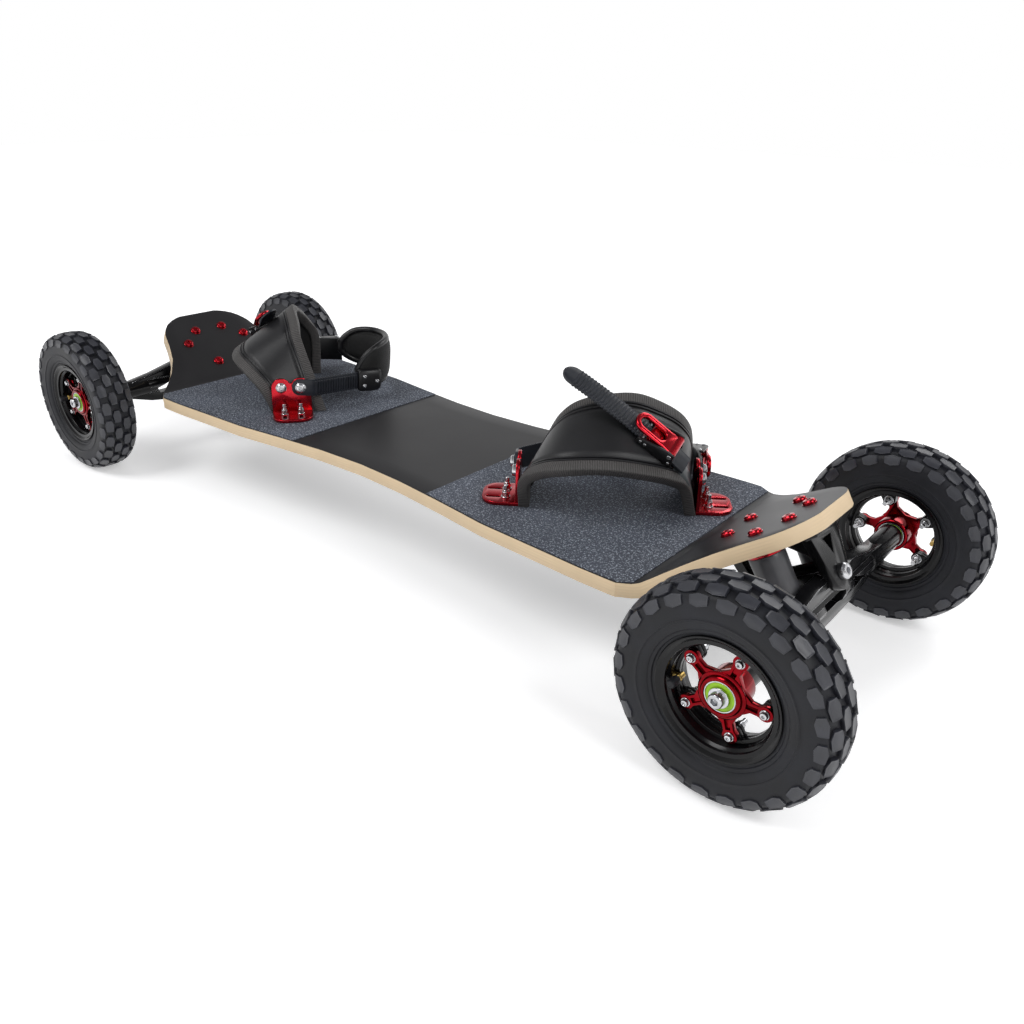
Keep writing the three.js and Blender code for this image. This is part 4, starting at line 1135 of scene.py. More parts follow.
class MakeTrucks(bpy.types.Operator):
    """The baseplates, the hangers with their axle sleeves, and the kingpins"""
    bl_idname = "board.trucks"
    bl_label = "Trucks"

    def execute(self, context):
        shape = DeckShape(context.scene.board_deck)
        black = truck_black(context.scene.board_truck)
        for end, sign in ENDS.items():
            self.baseplate(end, black)
            self.hanger(end, shape.tip(sign), black)
            self.kingpin(end, shape.tip(sign))
        return {"FINISHED"}

    def baseplate(self, end, black):
        foot = from_node(f"{end} baseplate", f"{end}_baseplate")
        bevelled(dressed(foot, black), 0.9, 2, 30)
        fitted(softened(foot, 32), "board", "black_metal", [f"{end}_baseplate"])

    def hanger(self, end, tip, black):
        """The truss, and a sleeve on each half of its axle tube."""
        body = from_node(f"{end} hanger", f"{end}_hanger")
        dressed(body, black, bare_aluminium())
        bevelled(body, 0.8, 2, 30, 1)
        fitted(softened(body, 32), f"{end}_truck", "black_metal", [f"{end}_hanger"])
        for side, sign in SIDES.items():
            sleeve = tube(f"{end} axle sleeve {side}", SLEEVE_RADIUS, *SLEEVE_ENDS)
            dressed(softened(sleeve, 30), black)
            put(sleeve, tip @ move(*AXLE_LINE) @ facing(sign))
            fitted(sleeve, f"{end}_truck", "black_metal")

    def kingpin(self, end, tip):
        """The pin, which lies along the tip, with its socket head and its nut."""
        start, seat = KINGPIN_ENDS
        top = seat + HEAD_HEIGHT
        pin = tube(f"{end} kingpin", KINGPIN_RADIUS, start, seat, chamfer=0.3)
        head = [(0, seat), (HEAD_RADIUS, seat), (HEAD_RADIUS, seat + 4.6), (6.4, top), (0, top)]
        cap = spun("kingpin head", head, 32, close=False)
        without(cap, bar(6, 3.4, 8, (0, top, 0), "Y"))
        nut = bar(6, HEAD_RADIUS, 7, (0, KINGPIN_NUT, 0), "Y")
        kingpin = together(f"{end} kingpin", [pin, cap, nut])
        bevelled(kingpin, 0.5, 2, 30)
        dressed(softened(kingpin, 30), bright_steel())
        put(kingpin, tip @ move(*KINGPIN_LINE) @ turn(-90, "Z"))
        fitted(kingpin, "board", "steel", [f"{end}_kingpin"])


class MakeDampers(bpy.types.Operator):
    """The urethane dampers and their red flanged caps"""
    bl_idname = "board.dampers"
    bl_label = "Dampers"

    def execute(self, context):
        settings = context.scene.board_truck
        shape = DeckShape(context.scene.board_deck)
        along, across = DAMPER_AT
        for end, sign in ENDS.items():
            for side in (1, -1):
                which = "left" if side * sign > 0 else "right"
                place = shape.tip(sign) @ move(along, side * across, 0) @ turn(90, "X")
                profile = smooth_line(DAMPER_PROFILE, 3)
                damper = spun(f"{end} {which} damper", profile, 48, close=False)
                edit(damper, lambda: bpy.ops.mesh.select_non_manifold(),
                     lambda: bpy.ops.mesh.fill_holes(sides=0))
                dressed(softened(damper, 40), damper_urethane(settings))
                fitted(put(damper, place), "board", "urethane", [f"{end}_{which}_damper"])
                cap = spun(f"{end} {which} damper cap", DAMPER_CAP_PROFILE, 48, close=False)
                dressed(softened(bevelled(cap, 0.3, 2, 30), 30), red_anodised())
                fitted(put(cap, place), "board", "red_metal", [f"{end}_{which}_damper_cap"])
        return {"FINISHED"}


# Bindings, in millimetres: across from inboard to outboard, then back from toe to heel, then up

STANCE = 36
HALF_WIDTH = 93
PLATE = 4
SEAT = 0.3

# The pad: its rims are shares of its size, and its edge profiles are (length inwards, height)

PAD_SIZE = (HALF_WIDTH - SEAT, 100, 119)
TOE_RIM = [
    (-1, -0.27, 0), (-1, -0.4, 0.292), (-0.793, -0.591, 0.456), (-0.496, -0.728, 0.538),
    (-0.057, -0.716, 0.547), (0.382, -0.642, 0.493), (0.673, -0.541, 0.42), (0.874, -0.41, 0.303),
    (1, -0.28, 0),
]
HEEL_RIM = [
    (-1, 0.44, 0), (-0.743, 0.289, 0.471), (-0.557, 0.184, 0.779), (-0.283, 0.152, 0.928),
    (0.213, 0.12, 1), (0.583, 0.2, 0.899), (0.863, 0.32, 0.731), (0.985, 0.46, 0.487), (1, 0.46, 0),
]
RIM_WIDTH = 13
BAND_OVERLAP = 0.6
BAND_PROFILE = [(0.0, -0.6), (0.5, 0.35), (2.0, 0.9), (11.0, 0.9), (12.5, 0.35), (13.0, -0.6)]
RAISED_LINES = [
    (0, 0.9), (1.7, 0.9), (2.3, -0.8), (3.1, -0.8), (3.7, 0.8), (5.3, 0.8), (5.9, -0.8),
    (6.7, -0.8), (7.5, 0.1),
]
RUN_STEPS = 900
RIM_THICKNESS = 11
PAD_THICKNESS = 6.5
SHELL_THICKNESS = 3
LINING_MARGIN = 0.06
LINING_CROWN = 1.2

# The instep strap: places on the pad are (across, back), and ladder rows are shares of its section

RATCHET = {"at": (0.64, 0.42), "from": (0.74, 0.28), "to": (0.56, 0.54)}
ROOT = [(0.752, 0.268), (0.765, 0.25), (0.805, 0.2), (0.85, 0.15), (0.872, 0.128)]
ROOT_HALF = 12.4
BUCKLE_HALF = 22
BUCKLE_WIDTH = 33
STRAP_LEVEL = 4.1
STRAP_WIDTH = 25
STRAP_DROP = 7
TAILS = {"front": 100, "rear": 40}
FULL_TAIL = 100
TOOTH = 4
LADDER_ROWS = [
    (-1, 0.35), (-0.96, 0.9), (-0.76, 0.9), (-0.68, 1.0), (-0.3, 1.0), (0.3, 1.0), (0.68, 1.0),
    (0.76, 0.9), (0.96, 0.9), (1, 0.35),
]

# The ratchets: rivets are (along the strap, up) from the seat, and a lever starts at its hinge

LEVER_AT = (-14, 0, 12.6)
LEVER_REACH = 37.5
LEVER_HALF = 12.5
LEVER_HOLE = 6.8
HOLE_START = 19.8
RIVETS = ((-17.5, 5.2), (12, 4.6), (17.5, 4.4))
PAWL_OUTLINE = [(-4, 0), (10, 0), (13, 2.2), (10, 4.2), (-4, 3.2)]
PAWL_WIDTH = 24

# The brackets: lengths out from the pad's side, along the wall, and up from the deck

FOOT_HALF = 26
FOOT_REACH = 41
FOOT_CORNER = 18
FOOT_SLOTS = (-10.5, 10.5)
SLOT_ENDS = (22.7, 34.1)
SLOT_HALF = 2.3
SIDE_BOLT_HOLE = 3.2
FOOT_BOLT_OUT = 15
BOLT_PITCH = 25
BOLT_HEIGHT = 36
OVER_STRAP = 3.9
OVER_PLATE = 0.2

# The heel strap: places are (across, back), a clamp row starts with a share of the clamp's run, and
# a cup row with the shares of a place

STRAP_RISE = {"front": -11, "rear": -4}
HEEL_ACROSS = HALF_WIDTH + PLATE + SEAT + 1.5
HEEL_REACH = 123
HEEL_BUCKLE_AT = 46
HEEL_HALF = 12
LADDER_END = (-HEEL_ACROSS + 36, 78.2)
CLAMP_END = (0.86 * LADDER_END[0], 108)
ARM_ACROSS = HALF_WIDTH + PLATE + 2 * SEAT + 2 + 1.5 + SEAT
CLAMP_STATIONS = (
    (-0.02, 25, 10, 0), (0.06, 29, 13, 0), (0.5, 30, 17, 0), (0.86, 29, 20, 1), (1.0, 26, 18, 2),
)
CLAMP_RIVETS = ((0.24, 6.6, 6.5), (0.24, 6.6, -6.5), (0.8, 9.0, 0))
LADDER_TEETH_START = 30
ARM_TEETH = (7, 66)
ARM_SMOOTH_START = 70
CUP_PUFF = 2.5
CUSHION_INSET = (0.05, 0.13)
PIPING_RADIUS = 4.6
CUP_SIZE = (HEEL_ACROSS, HEEL_REACH, 56, 13, 56)
CUP = [
    (-0.506, 0.642, 0.54, 0.62, 0.136), (-0.506, 0.732, 0.79, 0.92, 0.237),
    (-0.466, 0.85, 0.96, 1, 0.311), (-0.304, 0.954, 1, 1, 0.362), (-0.081, 0.994, 1, 1, 0.368),
    (0.162, 0.984, 0.98, 1, 0.368), (0.374, 0.914, 0.96, 1, 0.355), (0.506, 0.792, 0.95, 1, 0.337),
    (0.557, 0.646, 0.89, 0.92, 0.332), (0.547, 0.508, 0.68, 0.62, 0.311),
]


def sized(shares, size):
    """A table's shares as lengths."""
    return [tuple(share * length for share, length in zip(row, size)) for row in shares]


def on_rim(shares, across):
    """A point of a rim's soft curve, from 0 at the inboard foot to 1 at the outboard one."""
    points = [Vector(row) for row in sized(shares, PAD_SIZE)]
    padded = [2 * points[0] - points[1], *points, 2 * points[-1] - points[-2]]
    place = across * (len(points) - 1)
    i = min(int(place), len(points) - 2)
    t = place - i
    before, start, stop, after = padded[i:i + 4]
    leave, arrive = (stop - before) / 2, (after - start) / 2
    return (start + leave * t + (3 * (stop - start) - 2 * leave - arrive) * t ** 2
            + (2 * (start - stop) + leave + arrive) * t ** 3)


def on_pad(across, back):
    """A point of the pad's outer face, running back from 0 at the toe rim to 1 at the heel rim."""
    return on_rim(TOE_RIM, across).lerp(on_rim(HEEL_RIM, across), back)


def pad_normal(across, back):
    """The direction that points away from the pad's outer face."""
    low, high = max(0, across - 0.01), min(1, across + 0.01)
    along = on_pad(high, back) - on_pad(low, back)
    return along.cross(on_pad(across, 1) - on_pad(across, 0)).normalized()


def beside_pad(across, back, height):
    """A point over or under the pad's outer face, never below the deck."""
    point = on_pad(across, back) + pad_normal(across, back) * height
    point.z = max(point.z, 0)
    return point


def binding_place(end):
    """The frame of a binding: its middle on the deck, turned to the rider's stance."""
    corners = [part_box(f"front_bracket_{side}") for side in ("outboard", "inboard")]
    middle = sum((low + high for low, high in corners), Vector()) / 4
    middle.z = corners[0][0].z
    place = Matrix.Translation(middle) @ turn(STANCE, "Z")
    return place if ENDS[end] > 0 else Matrix.Diagonal((-1, 1, 1, 1)) @ place


def ratchet_place():
    """The frame of the instep ratchet: along its strap, across, and up from the pad."""
    up = pad_normal(*RATCHET["at"])
    along = on_pad(*RATCHET["to"]) - on_pad(*RATCHET["from"])
    along = (along - up * along.dot(up)).normalized()
    across = up.cross(along)
    turned = Matrix((along, across, up)).transposed().to_4x4()
    return Matrix.Translation(on_pad(*RATCHET["at"]) * MM) @ turned


def heel_place(end):
    """The frame of a heel strap, turned about its two bracket bolts to its height at rest."""
    return move(0, BOLT_PITCH / 2, BOLT_HEIGHT) @ turn(STRAP_RISE[end], "X")


def heel_ratchet_place(end):
    """The frame of the heel ratchet: along its strap towards the toe, down, and outboard."""
    turned = Matrix(((0, 0, 1), (-1, 0, 0), (0, -1, 0))).to_4x4()
    return heel_place(end) @ move(HALF_WIDTH + PLATE, HEEL_BUCKLE_AT, 0) @ turned


def both_bindings(piece, body, slot, nodes="", within=None):
    """Puts the piece in both bindings. It is made in a binding's own frame, or in one within it."""
    for end in ENDS:
        place = binding_place(end) @ within(end) if within else binding_place(end)
        twin = put(copied(piece, f"{end} {piece.name}"), place)
        at = body if body == "board" else f"{end}_{body}"
        fitted(twin, at, slot, [f"{end}_{nodes}"] if nodes else ())
    removed(piece)


def mark_run(piece, shares):
    """Writes on each point how far along the rim it is, for ribs that follow the rim."""
    line = [on_rim(shares, i / RUN_STEPS) * MM for i in range(RUN_STEPS + 1)]
    run = [0.0]
    for before, after in zip(line, line[1:]):
        run.append(run[-1] + (after - before).length)
    layer = piece.data.attributes.new("run", "FLOAT", "POINT")
    for item, vertex in zip(layer.data, piece.data.vertices):
        item.value = run[min(range(RUN_STEPS + 1),
                             key=lambda i: (line[i] - vertex.co).length_squared)]
    return piece


class MakeShells(bpy.types.Operator):
    """The moulded instep pads, their foam linings and the bands round their rims"""
    bl_idname = "board.shells"
    bl_label = "Instep pads"

    def execute(self, context):
        settings = context.scene.board_bindings
        self.mouldings(settings)
        self.linings(settings)
        self.bands(settings)
        return {"FINISHED"}

    def mouldings(self, settings):
        """The shells, with two raised lines inside each rim band."""
        lines = len(RAISED_LINES)
        middle = 9
        last = 2 * lines + middle - 1

        def outer(u, v, sunk=0):
            run = (on_pad(u, 1) - on_pad(u, 0)).length
            rim = (RIM_WIDTH - BAND_OVERLAP) / run
            i = round(v * last)
            if i < lines:
                back, relief = rim + RAISED_LINES[i][0] / run, RAISED_LINES[i][1]
            elif i > last - lines:
                back, relief = 1 - rim - RAISED_LINES[last - i][0] / run, RAISED_LINES[last - i][1]
            else:
                edge = rim + RAISED_LINES[-1][0] / run
                back = edge + (1 - 2 * edge) * (i - lines + 1) / (middle + 1)
                relief = RAISED_LINES[-1][1]
            return beside_pad(u, back, -sunk if sunk else relief)

        moulded = shell("instep shell", 96, last, outer, lambda u, v: outer(u, v, SHELL_THICKNESS))
        both_bindings(dressed(softened(moulded, 50), moulded_shell(settings)), "board",
                      "moulded_plastic", "instep_pad")

    def linings(self, settings):
        """The crowned foam under each shell."""
        def under(depth, crown):
            return lambda u, v: beside_pad(
                u, LINING_MARGIN + (1 - 2 * LINING_MARGIN) * v,
                -depth - crown * math.sin(math.pi * v) * math.sin(math.pi * u))

        foam = shell("instep lining", 64, 14, under(SHELL_THICKNESS + 0.2, 0),
                     under(PAD_THICKNESS, LINING_CROWN))
        foam = dressed(softened(subdivided(foam), 60), lining_cloth(settings))
        both_bindings(foam, "board", "moulded_plastic")

    def bands(self, settings):
        """The ribbed bands round the rims, each from its rim inwards."""
        last = len(BAND_PROFILE) - 1
        for name, shares in (("toe rim band", TOE_RIM), ("heel rim band", HEEL_RIM)):

            def face(u, v, depth=0):
                along, lift = BAND_PROFILE[round(v * last)]
                run = (on_pad(u, 1) - on_pad(u, 0)).length
                back = along / run if shares is TOE_RIM else 1 - along / run
                return beside_pad(u, back, -(depth + lift) if depth else lift)

            band = shell(name, 160, last, face, lambda u, v: face(u, v, RIM_THICKNESS - 1))
            mark_run(band, shares)
            both_bindings(dressed(softened(band, 50), ribbed_band(settings)), "board",
                          "moulded_plastic")


def tooth_places(first, last):
    """Lengths where a ladder's teeth rise and fall, with the height share at each."""
    places = []
    along = first
    while along + TOOTH <= last:
        places += [(along, 0), (along + 0.14 * TOOTH, 1), (along + 0.52 * TOOTH, 1),
                   (along + 0.66 * TOOTH, 0)]
        along += TOOTH
    return places + [(along, 0)]


def ladder(name, stations, half_width, thickness, relief, place):
    """A ladder strap. Stations are (length, tooth share, width share), rows are shares of its half
    width and thickness, and place gives a point from the length, across and height."""
    count = len(stations) - 1
    last = len(LADDER_ROWS) - 1

    def point(u, v, low=False):
        along, tooth, width = stations[round(u * count)]
        share, level = LADDER_ROWS[round(v * last)]
        half = half_width * width - (0.9 if not tooth and abs(share) > 0.9 else 0)
        height = -thickness / 2 if low else -thickness / 2 + thickness * level
        if not low and abs(share) <= 0.7:
            height += relief * tooth
        return place(along, share * half, height)

    return shell(name, count, last, point, lambda u, v: point(u, v, True))


class MakeInstepLadders(bpy.types.Operator):
    """The instep's ladder straps and the smooth roots that hold them to the pad"""
    bl_idname = "board.instep_ladders"
    bl_label = "Instep ladders"

    def execute(self, context):
        settings = context.scene.board_bindings
        plastic = strap_plastic(settings)
        for end, tail in TAILS.items():
            last = BUCKLE_HALF + tail
            stations = [(-BUCKLE_HALF - 14, 0, 1), (-BUCKLE_HALF, 0, 1)]
            stations += [(a, t, 1) for a, t in tooth_places(-BUCKLE_HALF + 2, last - 13)]
            for angle in range(0, 91, 10):
                turned = math.radians(angle)
                stations.append((last - STRAP_WIDTH / 2 * (1 - math.sin(turned)), 0,
                                 max(math.cos(turned), 0.12)))

            def place(along, across, height):
                past = max(0, along - BUCKLE_HALF)
                drop = STRAP_DROP * (past / FULL_TAIL) ** 2
                sink = max(0, -BUCKLE_HALF - along) * 0.1
                return (along, across, STRAP_LEVEL - drop - sink + height)

            strap = ladder(f"{end} instep ladder", stations, STRAP_WIDTH / 2, 2.6, 1.0, place)
            dressed(softened(strap, 30), plastic)
            put(strap, binding_place(end) @ ratchet_place())
            fitted(strap, "board", "strap_plastic", [f"{end}_instep_ladder"])
        self.roots()
        return {"FINISHED"}

    def roots(self):
        """The smooth ends that run from the ratchets to the toe rims."""
        line = smooth_line(ROOT, 5)

        def root(u, v, height):
            i = min(round(u * (len(line) - 1)), len(line) - 2)
            centre, ahead = line[i], line[i + 1]
            if u == 1:
                centre, ahead = ahead, tuple(2 * b - a for a, b in zip(centre, ahead))
            up = pad_normal(*centre)
            along = (on_pad(*ahead) - on_pad(*centre)).normalized()
            side = up.cross(along)
            edge = 1 - abs(2 * v - 1) ** 6
            across = side * (2 * v - 1) * ROOT_HALF * (1 - 0.14 * u)
            return on_pad(*centre) + across + up * (height * edge + 0.2)

        tongue = shell("strap root", len(line) - 1, 10, lambda u, v: root(u, v, 3.0 - 1.2 * u),
                       lambda u, v: root(u, v, -1))
        # the root's finish holds painted sheen
        both_bindings(dressed(softened(tongue, 50), painted_sheen_root_finish()), "board", "strap_plastic")


def lever_piece(name):
    """The ring-shaped lever and its drum, from its hinge axis along Y, flat side up."""
    half = BUCKLE_WIDTH / 2 - 2.5 - SEAT
    outline = [(0, -half), (3, -half), (LEVER_HALF, -LEVER_HALF)]
    outline += arc(LEVER_REACH, 0, LEVER_HALF, -90, 90, 16)
    outline += [(LEVER_HALF, LEVER_HALF), (3, half), (0, half)]
    ring = plate(name, outline, 5)
    opening = arc(LEVER_REACH, 0, LEVER_HOLE, -90, 90, 12)
    opening += arc(HOLE_START, 0, LEVER_HOLE, 90, 270, 12)
    without(ring, put(plate("hole", opening, 12), move(0, 0, -3)))
    bevelled(ring, 1.7, 3, 30)
    put(ring, move(0, 0, -2.5))
    drum = tube("drum", 4.6, -half, half, 24, 0.6)
    return softened(together(name, [ring, drum]), 40)


class MakeRatchets(bpy.types.Operator):
    """The ratchet buckles and their red ring levers"""
    bl_idname = "board.ratchets"
    bl_label = "Ratchets"

    def execute(self, context):
        settings = context.scene.board_bindings
        plastic = hard_plastic(settings)
        lever = dressed(lever_piece("lever"), red_anodised())
        pin = tube("pin", 2.6, -17.6, 17.6, 20, 0.5)
        rivets = [put(tube("rivet", 1.7, -17.2, 17.2, 16, 0.4), move(along, 0, up))
                  for along, up in RIVETS]
        put(pin, move(*LEVER_AT))
        hardware = dressed(softened(together("hardware", [pin, *rivets]), 30), bright_steel())
        pawl = plate("pawl", PAWL_OUTLINE, PAWL_WIDTH)
        bevelled(put(pawl, move(2, PAWL_WIDTH / 2, 6.2) @ turn(90, "X")), 0.5, 2, 30)
        dressed(softened(pawl, 30), red_anodised())
        for end in ENDS:
            for kind, place, body, lever_body in (
                    ("instep", ratchet_place(), "board", f"{end}_instep_lever"),
                    ("heel", heel_ratchet_place(end), f"{end}_heel_strap", f"{end}_heel_lever")):
                seat = binding_place(end) @ place
                buckle = from_node(f"{end} {kind} buckle", f"{end}_{kind}_buckle")
                bevelled(dressed(buckle, plastic), 0.5, 2, 30)
                fitted(softened(buckle, 30), body, "moulded_plastic", [f"{end}_{kind}_buckle"])
                ring = put(copied(lever, f"{end} {kind} lever"), seat @ move(*LEVER_AT))
                fitted(ring, lever_body, "red_metal", [f"{end}_{kind}_lever"])
                metal = put(copied(hardware, f"{end} {kind} ratchet pins"), seat)
                fitted(metal, body, "steel")
                catch = put(copied(pawl, f"{end} {kind} pawl"), seat)
                fitted(catch, body, "red_metal")
        removed(lever, hardware, pawl)
        return {"FINISHED"}


class MakeBrackets(bpy.types.Operator):
    """The red brackets with their slots, side bolts and foot bolts"""
    bl_idname = "board.brackets"
    bl_label = "Brackets"

    def execute(self, context):
        bracket = self.bracket()
        steel = bright_steel()
        side_bolt = button_bolt("side bolt", radius=6.4, height=3.8, material=steel, washer=7)
        foot_bolt = nut_stack("foot bolt", steel)
        for which, place in (("outboard", move(HALF_WIDTH, 0, 0)),
                             ("inboard", turn(180, "Z") @ move(HALF_WIDTH, 0, 0))):
            bolts = []
            for across, slot in zip((-BOLT_PITCH / 2, BOLT_PITCH / 2), FOOT_SLOTS):
                seat = OVER_STRAP if (across > 0) == (which == "outboard") else OVER_PLATE
                side = place @ move(PLATE + seat, across, BOLT_HEIGHT) @ turn(90, "Y")
                foot = place @ move(FOOT_BOLT_OUT, slot, PLATE)
                bolts.append(put(copied(side_bolt, "bolt"), side))
                bolts.append(put(copied(foot_bolt, "bolt"), foot))
            bolts = together(f"{which} bolts", bolts)
            body = put(copied(bracket, f"{which} bracket"), place)
            both_bindings(body, "board", "red_metal", f"bracket_{which}")
            both_bindings(bolts, "board", "steel")
        removed(bracket, side_bolt, foot_bolt)
        return {"FINISHED"}

    def bracket(self):
        """A slotted foot on the deck and a wall whose two lobes hold the side bolts."""
        half, corner, lobe = FOOT_HALF, FOOT_CORNER, BOLT_PITCH / 2
        straight = FOOT_REACH - corner
        start, end = SLOT_ENDS
        foot = [(0, -half), (straight, -half)] + arc(straight, corner - half, corner, -90, 0, 10)
        foot += arc(straight, half - corner, corner, 0, 90, 10) + [(0, half)]
        base = plate("bracket", foot, PLATE)
        for across in FOOT_SLOTS:
            slot = arc(start, across, SLOT_HALF, 270, 90, 10)
            slot += arc(end, across, SLOT_HALF, 90, -90, 10)
            without(base, put(plate("slot", slot, 12), move(0, 0, -4)))
        upright = turn(90, "Z") @ turn(90, "X")
        outline = [(-half, 0), (half, 0)] + arc(lobe, BOLT_HEIGHT, lobe, 0, 153, 14)
        outline += arc(-lobe, BOLT_HEIGHT, lobe, 27, 180, 14)
        wall = put(plate("wall", outline, PLATE), upright)
        for across in (-lobe, lobe):
            without(wall, put(bar(24, SIDE_BOLT_HOLE, 16, (across, BOLT_HEIGHT, 0)), upright))
        bracket = bevelled(together("bracket", [base, wall]), 0.8, 3, 40)
        return dressed(softened(bracket, 32), red_anodised())


def strap_line(points):
    """A function that gives the place and the way at a length of a soft line, and its length."""
    line = [Vector(point) for point in smooth_line(points, 8)]
    lengths = [0.0]
    for before, after in zip(line, line[1:]):
        lengths.append(lengths[-1] + (after - before).length)

    def at(along):
        i = max(j for j in range(len(line) - 1) if j == 0 or lengths[j] <= along)
        way = (line[i + 1] - line[i]).normalized()
        return line[i] + way * (along - lengths[i]), way

    return at, lengths[-1]


def on_edge(stations, edge):
    """A point of a band on edge, from its stations of (across, back, height, thickness, lift). The
    edge gives the share of the thickness at a share of the height."""
    count = len(stations) - 1

    def point(u, v, out=1):
        i = round(u * count)
        x, y, height, thickness, lift = stations[i]
        before, after = stations[max(i - 1, 0)], stations[min(i + 1, count)]
        way = Vector((after[0] - before[0], after[1] - before[1])).normalized()
        depth = out * thickness / 2 * edge(u, v)
        return (x - way.y * depth, y + way.x * depth, lift + (v - 0.5) * height)

    return point


class MakeHeelStraps(bpy.types.Operator):
    """The heel's ladder, its clamp, the padded cup and the arm that runs to the ratchet"""
    bl_idname = "board.heel_straps"
    bl_label = "Heel straps"

    def execute(self, context):
        settings = context.scene.board_bindings
        self.inboard_ladder(settings)
        self.clamp(settings)
        self.cup(settings)
        self.outboard_arm(settings)
        return {"FINISHED"}

    def inboard_ladder(self, settings):
        """The toothed strap from the inboard bracket to the clamp."""
        middle = Vector((-HEEL_ACROSS, 15.5)).lerp(Vector(LADDER_END), 0.5)
        at, length = strap_line([(-HEEL_ACROSS, -11), (-HEEL_ACROSS, 8), (-HEEL_ACROSS + 1.2, 18),
                                 tuple(middle), LADDER_END])

        def place(along, across, height):
            point, way = at(along)
            return (point.x - way.y * height, point.y + way.x * height, across)

        stations = [(0, 0, 0.35), (2, 0, 0.7), (6, 0, 0.95), (11, 0, 1), (17, 0, 1), (25, 0, 1),
                    (27, 0, 1)]
        stations += [(a, t, 1) for a, t in tooth_places(LADDER_TEETH_START, length)]
        strap = ladder("heel ladder", stations, HEEL_HALF, 3, 1.2, place)
        dressed(softened(strap, 30), strap_plastic(settings))
        both_bindings(strap, "heel_strap", "strap_plastic", "heel_ladder", heel_place)

    def clamp(self, settings):
        """The moulded clamp that joins the ladder to the cup, and its rivets."""
        start, stop = Vector(LADDER_END), Vector(CLAMP_END)
        way = (stop - start).normalized()
        out = Vector((-way.y, way.x))
        stations = [(*start.lerp(stop, share), height, depth, lift)
                    for share, height, depth, lift in CLAMP_STATIONS]
        point = on_edge(stations, lambda u, v: 1 - 0.25 * abs(2 * v - 1) ** 4)
        body = shell("heel clamp", len(stations) - 1, 6, point, lambda u, v: point(u, v, -1))
        bevelled(body, 1.2, 2, 30)
        dressed(softened(body, 35), hard_plastic(settings))
        both_bindings(body, "heel_strap", "moulded_plastic", within=heel_place)
        rivets = []
        for share, depth, lift in CLAMP_RIVETS:
            centre = start.lerp(stop, share) + out * depth
            up = Vector((out.x, out.y, 0))
            side = Vector((way.x, way.y, 0))
            turned = Matrix((side, up.cross(side), up)).transposed().to_4x4()
            rivet = button_bolt("rivet", radius=2.7, height=1.7, material=bright_steel())
            rivets.append(put(rivet, move(centre.x, centre.y, lift) @ turned))
        both_bindings(together("clamp rivets", rivets), "heel_strap", "steel", within=heel_place)

    def cup(self, settings):
        """The padded cup behind the heel: a stuffed body, its raised cushion and thick piping."""
        stations = smooth_line(sized(CUP, CUP_SIZE), 6)
        last = len(stations) - 1
        stations = [(x, y, height * max(0.35, (1 - abs(2 * i / last - 1) ** 5) ** 0.5), depth, lift)
                    for i, (x, y, height, depth, lift) in enumerate(stations)]

        def oval(u, v):
            return max(0.35, (1 - abs(2 * v - 1) ** 3.2) ** 0.5 * (1 - abs(2 * u - 1) ** 7) ** 0.5)

        point = on_edge(stations, oval)
        pad = shell("heel cup", last, 14, point, lambda u, v: point(u, v, -1))
        inflated(pad, settings.voxel * (1), CUP_PUFF)
        dressed(softened(pad, 60), lining_cloth(settings))
        both_bindings(pad, "heel_strap", "pad_fabric", "heel_pad", heel_place)

        def inner(u, v, depth):
            ends, edges = CUSHION_INSET
            return point(ends + (1 - 2 * ends) * u, edges + (1 - 2 * edges) * v, -depth)

        def cushion(u, v):
            swell = ((1 - abs(2 * u - 1) ** 5) * (1 - abs(2 * v - 1) ** 2.5)) ** 0.5
            return inner(u, v, 0.9 + 0.6 * swell)

        soft = shell("heel cushion", 40, 12, cushion, lambda u, v: inner(u, v, 0.6))
        dressed(softened(subdivided(soft), 60), lining_cloth(settings))
        both_bindings(soft, "heel_strap", "pad_fabric", within=heel_place)

        loop = [(i / last, 0.03) for i in range(last + 1)] + [(1, 0.3), (1, 0.5), (1, 0.7)]
        loop += [(i / last, 0.97) for i in range(last, -1, -1)] + [(0, 0.7), (0, 0.5), (0, 0.3)]
        cord = piping("heel piping", [point(u, v, -0.35) for u, v in loop], PIPING_RADIUS)
        dressed(softened(cord, 60), hard_plastic(settings))
        both_bindings(cord, "heel_strap", "pad_fabric", within=heel_place)

    def outboard_arm(self, settings):
        """The toothed strap from the cup through the outboard ratchet."""
        points = [(ARM_ACROSS, 15.2), (ARM_ACROSS, 40), (ARM_ACROSS, 76.8)]
        points += [(across * HEEL_ACROSS, back * HEEL_REACH)
                   for across, back in ((0.86, 0.69), (0.64, 0.8), (0.5, 0.846))]
        at, length = strap_line(points)

        def place(along, across, height):
            point, way = at(along)
            return (point.x + way.y * height, point.y - way.x * height, across)

        stations = [(0, 0, 0.5), (2, 0, 0.85), (5, 0, 1)]
        stations += [(a, t, 1) for a, t in tooth_places(*ARM_TEETH)]
        stations += [(ARM_SMOOTH_START + (length - ARM_SMOOTH_START) * i / 12, 0, 1)
                     for i in range(13)]
        strap = ladder("heel arm", stations, HEEL_HALF, 2.6, 0.9, place)
        dressed(softened(strap, 30), strap_plastic(settings))
        both_bindings(strap, "heel_strap", "strap_plastic", within=heel_place)


